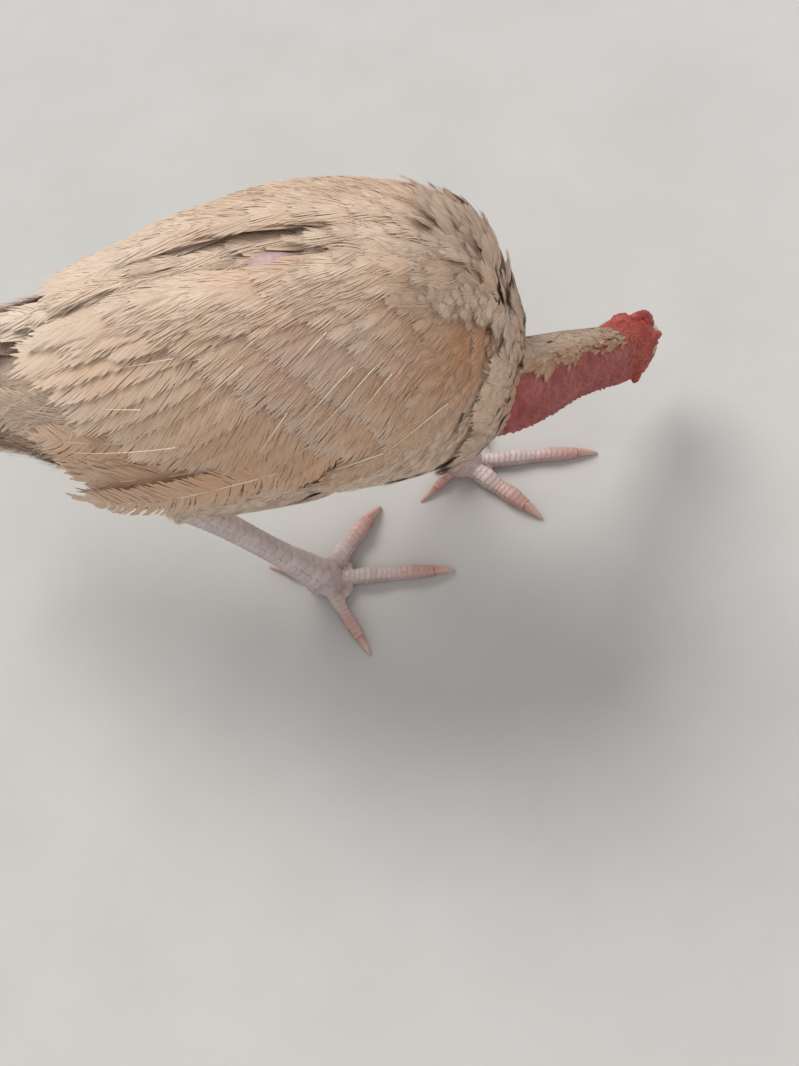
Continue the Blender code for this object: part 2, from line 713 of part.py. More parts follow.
def make_neck(torso):
    """The bare neck, from inside the breast's front to the back of the head."""
    ahead = head_axes()[2]
    joint = HEAD_CENTRE + (HEAD[0][0] - GAP) * ahead
    path = path_through((*NECK_PATH, joint), 8)
    radii = path_through([(r,) for r in NECK_RADII], 8)[:, 0]
    tangents = unit(np.gradient(path, axis=0))
    tangents[-1] = ahead
    rings = []
    for p, t, r in zip(path, tangents, radii):
        side = unit(np.cross(t, (0.0, 0.0, 1.0)))
        rings.append(ring(p, side, np.cross(side, t), r, r, r, 16))
    neck = fuse("neck", [loft(rings)])
    clear_of(neck, torso)
    return finish(neck, BARE_SKIN, 0.7)


def make_shank(name, pad_at, hock):
    """The scaled shank: its front carries a row of broad plates and its back a lower row."""
    places, stand = scute_steps(SHANK_SCUTES)
    path = path_at((pad_at, hock), places)
    radii = path_at([(r,) for r in SHANK_RADII], places)[:, 0]
    front = radii * (1 + SCUTE_RISE * stand)
    back = radii * (1 + 0.5 * SCUTE_RISE * stand)
    end = hock + unit(hock - pad_at) * HOCK_DEPTH
    return fuse(name, [tube(path, radii, front, back, 10, up=(1.0, 0.0, 0.0), end=end)])


def make_thigh(name, top, hock):
    """The feathered thigh, from inside the belly to the hock."""
    end = hock + unit(top - hock) * 2.0
    middle = hock + (top - hock) * THIGH_BEND + (0, 0, 2.0)
    path = path_through((top, middle, end), 7)
    radii = path_through([(r,) for r in THIGH_RADII], 7)[:, 0]
    return fuse(name, [tube(path, radii, radii * 1.05, radii * 1.05, 16)])


def toe_path(pad_at, angle, length, bend, places):
    """Points on the floor along a toe whose heading turns by bend on its way, and its last heading."""
    turn = math.radians(bend) / length
    start = math.radians(angle)
    along = length * np.asarray(places)
    mean = start + 0.5 * turn * along
    points = pad_at[:2] + along[:, None] * np.stack((np.cos(mean), np.sin(mean)), axis=1)
    last = start + turn * along[-1]
    return points, np.array((math.cos(last), math.sin(last), 0.0))


def make_toe(name, points, half, tall, shrink, stand):
    """A toe flat on the floor all along, with a row of plates on its top."""
    path = np.column_stack((points, tall * shrink * TOE_SINK))
    above = tall * shrink * (1 + SCUTE_RISE * stand)
    return fuse(name, [tube(path, half * shrink, above, tall * shrink, 8, floor=0.0)])


def make_claw(name, end, way, size):
    """A claw that bends down until its tip rests on the floor."""
    drop = end[2]
    path = np.array([end + way * t * CLAW_LENGTH - (0.0, 0.0, fall * drop)
                     for t, fall in ((0.0, 0.0), (0.25, 0.06), (0.55, 0.38), (0.82, 0.72))])
    sizes = size * np.array((1.0, 0.95, 0.72, 0.45))
    tip = end + way * CLAW_LENGTH
    tip[2] = CLAW_TIP
    return fuse(name, [tube(path, sizes, sizes, sizes * 1.4, 8, floor=0.0, end=tip)])


def make_leg(name, torso):
    leg = LEGS[name]
    pad_at, hock, top = (np.array(leg[key]) for key in ("pad", "hock", "top"))
    pad = fuse("foot_" + name, [ball(pad_at, PAD_RADII, rows=7, count=14, floor=0.0)])
    shank = make_shank("shank_" + name, pad_at, hock)
    clear_of(shank, pad)
    thigh = make_thigh("thigh_" + name, top, hock)
    clear_of(thigh, torso, shank)
    finish(thigh, PALE_BUFF, 0.8)
    done = [finish(shank, SCUTE, 0.6), finish(pad, SCUTE, 0.6)]
    places, stand = scute_steps(TOE_SCUTES)
    shrink = 1 - TOE_NARROWS * places + TOE_SWELL * np.cos(places * math.tau * 2.5)
    for toe_name, (angle, length, bend), (half, tall) in zip(TOE_NAMES, leg["toes"], TOE_RADII):
        points, way = toe_path(pad_at, angle, length - CLAW_LENGTH, bend, places)
        toe = make_toe(f"toe_{toe_name}_{name}", points, half, tall, shrink, stand)
        clear_of(toe, *done)
        done.append(finish(toe, SCUTE, 0.6))
        end = np.array((*points[-1], tall * CLAW_HEIGHT)) + 2 * GAP * way
        finish(make_claw(f"claw_{toe_name}_{name}", end, way, half * CLAW_SIZE), HORN, 0.4)


def main():
    for obj in list(bpy.data.objects):
        bpy.data.objects.remove(obj)
    torso = make_torso()
    wing = make_wing("wing_right", 1, torso)
    make_wing("wing_left", -1, torso, wing)
    make_tail()
    head = make_head()
    neck = make_neck(torso)
    upper, lower = make_beaks(head)
    make_comb(head, upper)
    make_folds(head, lower, neck)
    make_leg("right", torso)
    make_leg("left", torso)


main()
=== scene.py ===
"""Looks of a heera aseel hen stooping to feed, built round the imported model.

Sizes are in millimetres in the bird's own frame, as in the part's source: x runs to the breast, y to the
bird's left side and z up, measured from the floor under the toe joint of the right foot. put() turns them
into metres about ORIGIN. Angles are in degrees, those round the body from the middle of the back.
"""

import math

import bmesh
import bpy
import numpy as np
from mathutils import Matrix, Vector


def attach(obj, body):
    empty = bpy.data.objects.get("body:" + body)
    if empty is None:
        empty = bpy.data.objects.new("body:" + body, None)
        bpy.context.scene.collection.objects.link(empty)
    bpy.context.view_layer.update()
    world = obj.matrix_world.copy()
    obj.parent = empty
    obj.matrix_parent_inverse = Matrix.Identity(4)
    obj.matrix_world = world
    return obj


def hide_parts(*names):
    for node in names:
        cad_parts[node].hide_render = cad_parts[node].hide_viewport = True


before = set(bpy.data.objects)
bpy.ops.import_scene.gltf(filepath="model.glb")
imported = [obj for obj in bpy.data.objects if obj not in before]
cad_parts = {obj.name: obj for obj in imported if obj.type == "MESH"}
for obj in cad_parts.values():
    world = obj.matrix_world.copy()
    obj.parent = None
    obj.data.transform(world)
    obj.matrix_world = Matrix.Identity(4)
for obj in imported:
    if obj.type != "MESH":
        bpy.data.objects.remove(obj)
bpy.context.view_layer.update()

MM = 0.001
SEED = 7
ORIGIN = np.array((-16.5, 5.5, 0.0))

# The camera: place, and turn about x, y and z in degrees
CAMERA_AT = (146.5, -311.4, 583.0)
CAMERA_TURN = (27.70, 7.835, 5.0)
FOCAL = 40.53
SENSOR = 36.0

# Body outline with its feathers and folded wings: x, middle y, top z, widest z, bottom z, half width
BODY = np.array((
    (114.5, 4.5, 173.0, 156.5, 139.0, 11.0),
    (108.5, 3.0, 196.0, 157.5, 122.0, 29.5),
    (98.5, 2.0, 213.5, 161.5, 109.5, 45.0),
    (80.5, -0.5, 229.5, 165.5, 100.5, 56.5),
    (51.0, -3.5, 238.5, 169.5, 96.5, 65.0),
    (11.5, -8.0, 240.5, 170.5, 97.5, 67.0),
    (-28.0, -12.0, 231.5, 166.5, 103.5, 63.0),
    (-67.5, -13.5, 214.5, 161.0, 118.0, 54.5),
    (-107.0, -12.5, 196.0, 156.5, 137.0, 42.5),
    (-146.5, -9.5, 181.0, 153.0, 149.0, 30.5),
))
# How the outline closes in front of its first section: over what length, and how far it bulges
FRONT_CLOSES = 15.0
FRONT_BULGE = 1.2
TORSO_REAR = -113.0
TORSO_STATIONS = (114.0, 111.5, 106.5, 98.0, 86.0, 72.0, 54.0, 32.0, 10.0, -12.0, -34.0, -56.0, -78.0, -96.0,
                  TORSO_REAR)
# How deep the torso lies under the folded wings and at the rear, and where along the body that holds
WING_DEPTH = 9.0
REAR_DEPTH = 22.0
WING_FRONT = 110.0
WING_REAR = -104.0
CLEFT_SHARE = 0.6
# How deep the torso and thighs lie under their feathers
COAT_DEPTH = 5.0

NECK_PATH = ((85.0, -9.5, 145.0), (104.5, -2.0, 129.5), (133.0, 32.5, 97.0))
NECK_RADII = (23.0, 21.0, 16.0, 14.6)
# Where the neck comes out: a point deep in the breast, and how far and how much its edge is rounded
THROAT_MIDDLE = np.array((80.0, 0.0, 160.0))
THROAT_FILLET = ((-5.0, 0.15), (-2.5, 0.2), (0.0, 0.3), (2.5, 0.2), (5.0, 0.15))
COLLAR = (-25.0, 4.5)
# The direction that the strip of hackles faces
NAPE = np.array((0.20, 0.60, 0.77))
HEAD_CENTRE = np.array((162.0, 70.0, 61.0))
BEAK_TIP = np.array((184.5, 104.0, 36.0))
# Sections of the head: place along its axis, half width, height above and below
HEAD = (
    (-24.0, 14.6, 14.6, 14.6),
    (-17.0, 14.8, 16.0, 15.6),
    (-9.0, 15.4, 17.4, 16.0),
    (-1.0, 15.0, 17.2, 15.4),
    (6.0, 13.0, 15.0, 13.6),
    (12.0, 10.0, 11.6, 11.4),
    (16.0, 7.6, 9.0, 9.0),
)
# Sections of the beak: place along the head's axis, half width, top and bottom
BEAK_UPPER = (
    (12.0, 8.6, 9.4, -2.2),
    (19.0, 7.2, 8.0, -2.6),
    (26.0, 5.2, 5.6, -3.4),
    (32.0, 3.2, 2.2, -5.2),
    (37.0, 1.0, -3.4, -7.4),
)
BEAK_LOWER = (
    (12.0, 7.8, -2.5, -9.6),
    (19.0, 6.4, -2.9, -8.6),
    (25.0, 4.4, -3.7, -7.8),
    (31.0, 1.6, -5.5, -7.2),
)
BEAK_KEEL = 0.42
EYE_AT = (1.5, 4.0, 9.4)
EYE_RADIUS = 5.4
# Lumps of the head: place along, above and beside the axis, then half width, height and length
BROW = ((2.0, 10.2, 10.6), (2.8, 2.4, 8.5))
CHEEK = ((-3.0, -5.0, 10.2), (4.2, 6.5, 10.0))
DEWLAP = ((-4.0, -14.2, 0.0), (2.2, 5.4, 11.0))
WATTLE = ((9.0, -12.0, 5.6), (1.9, 5.0, 4.0))
EARLOBE = ((-11.0, -7.0, 14.2), (2.0, 4.4, 3.0))
JAW = ((4.0, -8.6, 5.6), (3.2, 3.4, 8.0))
EAR_HOLE = (-10.0, 0.5, 14.0)
HEAD_STATIONS = np.linspace(-24, 16, 21)
COMB_BASE = ((5.0, 13.2, 0.0), (4.6, 3.4, 12.0))
# Rows of the comb's beads: place aside, height, radius and count
COMB_ROWS = ((0.0, 16.4, 2.6, 6), (3.4, 14.4, 2.1, 4), (-3.4, 14.4, 2.1, 4))
COMB_SPAN = (-4.0, 14.0)
COMB_DROP = 0.035

# Legs: middle of the foot, hock, top of the thigh, and angle, length and bend of each toe
LEGS = {
    "right": {
        "pad": (1.5, -42.0, 8.0),
        "hock": (-49.0, -44.5, 93.0),
        "top": (31.0, -35.0, 139.0),
        "toes": ((61, 54, 0), (7, 71, 0), (-55, 51, 0), (165, 34, 0)),
    },
    "left": {
        "pad": (72.5, 32.0, 8.0),
        "hock": (10.0, 22.0, 84.0),
        "top": (67.0, 22.5, 137.0),
        "toes": ((-36, 56, 0), (7, 75, 0), (60, 57, 28), (-134, 32, 0)),
    },
}
TOE_NAMES = ("2", "3", "4", "hind")
THIGH_RADII = (27.0, 19.0, 9.6)
PAD_RADII = (10.8, 10.8, 9.0)
SHANK_RADII = (9.4, 6.8, 6.2, 6.6, 8.4)
TOE_RADII = ((5.4, 6.2), (4.6, 5.0), (4.2, 4.4), (3.4, 3.6))
TOE_NARROWS = 0.30
TOE_SWELL = 0.05
CLAW_LENGTH = 11.0

# The front edge of a wing: angle from the middle of the back, x
WING_EDGE = ((2, 72), (12, 95), (26, 109), (42, 110), (56, 106), (72, 92), (93, 60))

# Colours, in linear light
BUFF = (0.56, 0.348, 0.215)
PALE = (0.745, 0.625, 0.51)
WARM = (0.45, 0.205, 0.085)
ROSE = (0.50, 0.29, 0.25)
QUILL = (0.86, 0.74, 0.58)
BARB_CONTRAST = 0.13


def unit(v):
    v = np.asarray(v, float)
    return v / np.maximum(np.linalg.norm(v, axis=-1, keepdims=True), 1e-12)


def dot(a, b):
    return (a * b).sum(axis=-1, keepdims=True)


def columns(*values):
    """Arrays or plain values side by side, one row for each point or feather."""
    return np.stack(np.broadcast_arrays(*values), axis=-1)


def spline(xs, ys, x):
    """A smooth curve through the points (xs, ys), read at x."""
    xs = np.asarray(xs, float)
    ys = np.asarray(ys, float)
    if xs[0] > xs[-1]:
        xs, ys = xs[::-1], ys[::-1]
    slopes = np.gradient(ys, xs, axis=0)
    x = np.clip(np.asarray(x, float), xs[0], xs[-1])
    k = np.clip(np.searchsorted(xs, x, side="right") - 1, 0, len(xs) - 2)
    step = xs[k + 1] - xs[k]
    t = (x - xs[k]) / step
    if ys.ndim > 1:
        t, step = t[..., None], step[..., None]
    return ((1 + 2 * t) * (1 - t) ** 2 * ys[k] + t * (1 - t) ** 2 * step * slopes[k]
            + t * t * (3 - 2 * t) * ys[k + 1] + t * t * (t - 1) * step * slopes[k + 1])


def ease(low, high, x):
    t = np.clip((np.asarray(x, float) - low) / (high - low), 0.0, 1.0)
    return t * t * (3 - 2 * t)


def path_at(points, t):
    """Points of the smooth path through points, t running from 0 to 1."""
    return spline(np.linspace(0, 1, len(points)), np.asarray(points, float), t)


# Surfaces that feathers grow on: each gives a point for a place along and an angle round, in degrees

def body(x, turn):
    """The body's outline: turn is the angle from the middle of the back, right positive."""
    x, turn = np.broadcast_arrays(np.asarray(x, float), np.asarray(turn, float))
    middle, top, wide, bottom, half = np.moveaxis(spline(BODY[:, 0], BODY[:, 1:], x), -1, 0)
    c = np.cos(np.radians(turn))
    s = np.sin(np.radians(turn))
    height = np.where(c > 0, (top - wide) * c, (wide - bottom) * c)
    # past the first section the surface closes over the front
    close = np.clip(1 - np.maximum(x - BODY[0, 0], 0) / FRONT_CLOSES, 0, 1)
    x = np.minimum(x, BODY[0, 0]) + FRONT_BULGE * (1 - close ** 2)
    return columns(x, middle - half * close * s, wide + height * close)


def tube(path, wides, talls, reference):
    """A tube along a path with oval sections: its angle 0 lies square to the reference direction."""
    line = path_at(path, np.linspace(0, 1, 60))
    lengths = np.concatenate(((0,), np.cumsum(np.linalg.norm(np.diff(line, axis=0), axis=1))))

    def surface(a, b):
        a, b = np.broadcast_arrays(np.asarray(a, float), np.asarray(b, float))
        t = np.interp(a, lengths, np.linspace(0, 1, 60))
        near = np.clip(t, 0.01, 0.99)
        tangent = unit(path_at(path, near + 0.01) - path_at(path, near - 0.01))
        across = unit(np.cross(tangent, reference))
        rise = np.cross(tangent, across)
        wide = path_at(np.array(wides)[:, None], t)
        tall = path_at(np.array(talls)[:, None], t)
        angle = np.radians(b)[..., None]
        past = np.minimum(a, 0.0)[..., None] * tangent
        return path_at(path, t) + past + np.cos(angle) * wide * across + np.sin(angle) * tall * rise

    surface.reach = lengths[-1]
    return surface


def frame_on(surface, a, b):
    along = surface(a + 0.5, b) - surface(a - 0.5, b)
    around = surface(a, b + 0.5) - surface(a, b - 0.5)
    return along, around, unit(np.cross(around, along))


def inside_body(points):
    middle, top, wide, bottom, half = np.moveaxis(spline(BODY[:, 0], BODY[:, 1:], points[..., 0]), -1, 0)
    rise = points[..., 2] - wide
    tall = np.where(rise > 0, top - wide, wide - bottom)
    across = (points[..., 1] - middle) / half
    return (points[..., 0] < BODY[0, 0] + 0.6) & (across ** 2 + (rise / tall) ** 2 < 1.0)


def last_inside(path, low, high, steps=22):
    """The last place along each path that lies inside the body."""
    for _ in range(steps):
        middle = 0.5 * (low + high)
        inside = inside_body(path(middle))
        low, high = np.where(inside, middle, low), np.where(inside, high, middle)
    return low


def throat_surface():
    """The neck's root and the breast round it as one surface: a is 0 where the neck comes out."""
    neck = neck_surface()
    angles = np.arange(0, 360, 5.0)
    leave = last_inside(lambda a: neck(a, angles), np.full(72, 5.0), np.full(72, 60.0))
    centre = neck(leave, angles).mean(axis=0)

    def sharp(a, b):
        at = np.interp(b, angles, leave, period=360)
        edge = neck(at, b)
        way = edge + unit(edge - centre) * np.maximum(-a, 0)[..., None] - THROAT_MIDDLE
        share = last_inside(lambda t: THROAT_MIDDLE + way * t[..., None], 0.0 * a, 0.0 * a + 3.0)
        on_breast = THROAT_MIDDLE + way * share[..., None]
        return np.where((a > 0)[..., None], neck(at + np.maximum(a, 0), b), on_breast)

    def surface(a, b):
        a, b = np.broadcast_arrays(np.asarray(a, float), np.asarray(b, float))
        return sum(share * sharp(a + shift, b) for shift, share in THROAT_FILLET)

    surface.centre = centre
    surface.leave = lambda b: np.interp(b, angles, leave, period=360)
    return surface


def torso_inset(x, turn):
    """How far the torso lies inside the outline, which leaves room for the folded wings and their cleft."""
    side = np.abs(turn)
    depth = WING_DEPTH + (REAR_DEPTH - WING_DEPTH) * (1 - ease(WING_REAR - 5, -40, x))
    cleft = CLEFT_SHARE * ease(-70, -30, x) * (1 - ease(60, 84, x))
    return (depth * (1 - ease(WING_FRONT - 2, WING_FRONT + 6, x)) * (cleft + (1 - cleft) * ease(2, 9, side))
            * (1 - 0.6 * ease(100, 116, side) - 0.4 * ease(125, 150, side)))


def torso_ring(x, count, deeper):
    """A section of the torso, sunk by the depth of the coat."""
    turn = np.arange(count) * 360 / count - 180
    xs = np.full(count, x)
    points = body(xs, turn)
    sideways = unit(points.mean(axis=0) - points)
    square = -frame_on(body, xs, turn)[2]
    front = ease(30, 70, x)
    depth = torso_inset(xs, turn) + deeper
    return points + unit((1 - front) * sideways + front * square) * depth[:, None]


# Paths of many feathers at once

STEPS = 6


class Lie:
    """How a set of feathers lies: points, ways across and normals along each, and their roots."""

    def __init__(self, surface, a, b, heading, length, curl=0.0, sign=None):
        values = np.broadcast_arrays(a, b, heading, length, curl)
        a, b, heading, length, curl = (np.array(v, float) for v in values)
        self.sign = np.where(b >= 0, 1.0, -1.0) if sign is None else np.broadcast_to(float(sign), a.shape)
        self.root = columns(a, b)
        self.length = length
        sign = self.sign[:, None]
        pace = length / STEPS
        rows = []
        for k in range(STEPS + 1):
            along, around, normal = frame_on(surface, a, b)
            around = around * sign
            back = -unit(along)
            down = unit(around - dot(around, back) * back)
            angle = np.radians(heading + curl * k / STEPS)[:, None]
            ahead = np.cos(angle) * back + np.sin(angle) * down
            rows.append((surface(a, b), sign * np.cross(normal, ahead), normal, columns(a, b)))
            aa, ab, bb = (dot(u, v)[:, 0] for u, v in ((along, along), (along, around), (around, around)))
            va, vb = dot(along, ahead)[:, 0] * pace, dot(around, ahead)[:, 0] * pace
            area = aa * bb - ab * ab
            a = a + (va * bb - vb * ab) / area
            b = b + self.sign * (vb * aa - va * ab) / area
        self.points, self.across, self.normal, self.chart = (np.stack(part, axis=1) for part in zip(*rows))

    def lift(self, *amounts):
        """Moves each feather off the surface: amounts run from its root to its tip."""
        t = np.linspace(0, 1, STEPS + 1)
        stack = np.stack([np.broadcast_to(v, self.length.shape) for v in amounts], axis=1).astype(float)
        at = np.linspace(0, 1, len(amounts))
        heights = np.stack([np.interp(t, at, row) for row in stack])
        self.points = self.points + self.normal * heights[..., None]
        return self

    def sink(self, share=1.0):
        """Lays the feathers on the torso, which lies deeper than the outline."""
        depth = torso_inset(self.chart[..., 0], self.chart[..., 1])
        share = np.broadcast_to(np.asarray(share, float), self.length.shape)[:, None]
        self.points = self.points - self.normal * (share * depth)[..., None]
        return self

    def droop(self, amount, side):
        """Lets the outer ends hang away from the body, outwards and down."""
        t = ease(0.25, 1.0, np.linspace(0, 1, STEPS + 1))
        amount = np.broadcast_to(np.asarray(amount, float), self.length.shape)[:, None]
        self.points = self.points + (amount * t)[..., None] * np.array((0.0, -0.93 * side, -0.36))
        return self


class Drawn:
    """How a few feathers lie between two places on the chart each."""

    def __init__(self, surface, places, heights):
        places = np.asarray(places, float)
        t = np.linspace(0, 1, STEPS + 1)[None, :]
        a = places[:, 0, None] * (1 - t) + places[:, 2, None] * t
        b = places[:, 1, None] * (1 - t) + places[:, 3, None] * t
        self.normal = frame_on(surface, a, b)[2]
        lift = np.interp(t, (0, 1), heights)
        self.points = surface(a, b) + self.normal * lift[..., None]
        ahead = unit(np.gradient(self.points, axis=1))
        self.sign = np.ones(len(places))
        self.across = unit(np.cross(self.normal, ahead))
        self.length = np.linalg.norm(np.diff(self.points, axis=1), axis=2).sum(axis=1)
        self.root = places[:, :2]


# Feathers drawn flat, as patterns that are laid along the paths

# Half width along a feather, from its root to its tip
LEAF = ((0.0, 0.12, 0.35, 0.7, 0.9, 1.0), (0.30, 0.62, 0.95, 1.0, 0.80, 0.42))
BLADE = ((0.0, 0.08, 0.3, 0.70, 0.88, 0.96, 1.0), (0.35, 0.72, 0.95, 1.0, 0.80, 0.52, 0.22))
LANCE = ((0.0, 0.15, 0.4, 0.7, 0.9, 1.0), (0.5, 0.9, 1.0, 0.75, 0.4, 0.15))
# Where the barbs start and end along the shaft
FIRST_BARB = 0.06
LAST_BARB = 0.97


class Pattern:
    """One feather drawn flat: a pad, a shaft and barbs, in half widths across and in lengths along."""

    def __init__(self, seed, length, half, barbs, sweep, ribbon, loose=0.6, pad=None, shaft=None,
                 shape=LEAF, slits=0, segments=3, lap=1.03, pull=0.03, blunt=0.76, gaps=None):
        draw = np.random.default_rng(seed)
        self.rows = []
        self.faces = []
        self.length, self.half = length, half
        if pad:
            self.add_pad(pad, shape)
        cuts = {side: draw.uniform(0.2, 0.9, slits) for side in (1, -1)}
        if gaps:
            cuts[1] = np.linspace(*gaps) + draw.normal(0, 0.004, gaps[2])
        u = np.append(np.linspace(0, blunt, segments), 1.0)
        for side in (1, -1):
            for k in range(barbs):
                root = FIRST_BARB + (LAST_BARB - FIRST_BARB) * (k + 0.7 * draw.random()) / barbs
                edge = np.interp(root + 0.10, *shape) * half * draw.uniform(0.86, 1.08)
                angle = math.radians(np.interp(root, (0, 1), sweep) * draw.uniform(0.85, 1.15))
                run = edge / math.tan(angle)
                room = max(lap + 0.03 * draw.normal() - root, 0.03) * length
                if run > room:
                    run = room
                    edge = run * math.tan(angle)
                parted = sum(np.sign(root - c) * math.exp(-abs(root - c) / pull) for c in cuts[side])
                shift = parted * pull * length
                line = np.stack((side * edge * u * (1.25 - 0.25 * u),
                                 root * length + run * (0.8 * u + 0.2 * u * u) + shift * u ** 1.5), axis=1)
                taper = np.interp(u, (0, 0.4, blunt, 1), (0.9, 1.0, 0.85, 0.0))
                widths = ribbon * draw.uniform(0.75, 1.15) * taper
                heights = draw.uniform(-0.03, 0.03) + loose * draw.random() ** 3 * u * u
                self.add_strip(line, widths, heights, draw.random(), 0.0)
        if shaft:
            t = np.linspace(0, shaft[1], 6)
            line = np.stack((np.zeros(6), t * length), axis=1)
            self.add_shaft(line, shaft[0] * np.linspace(1, 0.0, 6) ** 0.7)
        points = np.concatenate([np.atleast_2d(r) for r in self.rows])
        self.s, self.t, self.h, self.tone, self.quill = points.T
        self.s = self.s / half
        self.t = self.t / length
        self.tris = np.array(self.faces)

    def count(self):
        return sum(len(r) for r in self.rows)

    def add_strip(self, line, widths, heights, tone, quill):
        way = unit(np.gradient(line, axis=0))
        side = np.stack((way[:, 1], -way[:, 0]), axis=1) * widths[:, None]
        base = self.count()
        last = len(line) - 1
        for i in range(last):
            for edge in (line[i] + side[i], line[i] - side[i]):
                self.rows.append(np.array([(*edge, heights[i], tone, quill)]))
        self.rows.append(np.array([(*line[last], heights[last], tone, quill)]))
        for i in range(last - 1):
            a = base + 2 * i
            self.faces += [(a, a + 2, a + 3), (a, a + 3, a + 1)]
        a = base + 2 * (last - 1)
        self.faces.append((a, a + 2, a + 1))

    def add_shaft(self, line, radii):
        """A shaft with a raised middle, so that it catches the light along one side."""
        base = self.count()
        for (x, y), r in zip(line, radii):
            self.rows.append(np.array([(x + r, y, 0.12, 0.5, 1.0), (x, y, 0.12 + 1.3 * r, 0.5, 1.0),
                                       (x - r, y, 0.12, 0.5, 1.0)]))
        self.add_faces(base, len(line))

    def add_pad(self, pad, shape):
        share, end = pad
        base = self.count()
        rows = 6
        for t in np.linspace(0, end, rows):
            w = share * self.half * np.interp(t, *shape) * (1.0 if t < end else 0.5)
            # the pad's tone of 0.35 lies under the barbs' mean of 0.5: painted shade in the gaps between
            # barbs
            self.rows.append(np.array([(c * w, t * self.length, -0.2, 0.35, 0.0) for c in (1, 0, -1)]))
        self.add_faces(base, rows)

    def add_faces(self, base, rows):
        """Faces between rows of three points each."""
        for i in range(rows - 1):
            for j in (0, 1):
                a = base + 3 * i + j
                self.faces += [(a, a + 3, a + 4), (a, a + 4, a + 1)]


def patterns(count, seed, **facts):
    return [Pattern(seed * 100 + k, **facts) for k in range(count)]


KINDS = {
    "contour": patterns(14, 1, length=27, half=7.5, barbs=17, sweep=(27, 7), ribbon=0.36, loose=0.45,
                        pad=(0.9, 0.78), shaft=(0.10, 0.8), blunt=0.68),
    "small": patterns(10, 2, length=14, half=4.4, barbs=10, sweep=(32, 10), ribbon=0.30, loose=0.4,
                      pad=(0.9, 0.78), segments=2),
    "covert": patterns(12, 3, length=40, half=8.5, barbs=44, sweep=(28, 10), ribbon=0.34, loose=0.3,
                       pad=(0.9, 0.84), shaft=(0.18, 0.88), slits=2, blunt=0.84),
    "flight": patterns(10, 4, length=100, half=11, barbs=110, sweep=(34, 16), ribbon=0.46, loose=0.10,
                       pad=(0.9, 0.92), shaft=(0.30, 0.95), shape=BLADE, slits=3, blunt=0.88),
    "worn": patterns(8, 5, length=120, half=10, barbs=112, sweep=(44, 26), ribbon=0.46, loose=0.2,
                     pad=(0.35, 0.92), shaft=(0.42, 0.97), shape=BLADE, slits=11, lap=1.0, pull=0.010,
                     blunt=0.86),
    "gapped": patterns(2, 10, length=150, half=10.5, barbs=112, sweep=(58, 36), ribbon=0.62, loose=0.2,
                       pad=(0.12, 0.95), shaft=(0.42, 0.97), shape=BLADE, lap=1.0, pull=0.020, blunt=0.88,
                       gaps=(0.30, 0.74, 11)),
    "saddle": patterns(14, 6, length=60, half=4.5, barbs=22, sweep=(13, 5), ribbon=0.22, loose=1.0,
                       pad=(0.6, 0.6), shaft=(0.12, 0.85), shape=LANCE, lap=1.08),
    "fluff": patterns(12, 7, length=28, half=8, barbs=18, sweep=(40, 12), ribbon=0.17, loose=4.0,
                      pad=(0.5, 0.5), lap=1.1),
    "hackle": patterns(12, 11, length=14, half=2.3, barbs=11, sweep=(14, 5), ribbon=0.19, loose=0.5,
                       pad=(0.6, 0.6), segments=2, shape=LANCE, lap=1.06),
    "hair": patterns(10, 8, length=10, half=1.6, barbs=6, sweep=(15, 5), ribbon=0.11, loose=0.6, segments=2,
                     lap=1.05),
    "quill": patterns(3, 9, length=60, half=4, barbs=0, sweep=(30, 10), ribbon=0.2, shaft=(0.34, 1.0)),
}


# The side of a feather's patch on the bake map, and how far apart two feathers read their streaks
BAKE_PATCH = 0.003
STREAK_STEP = 40


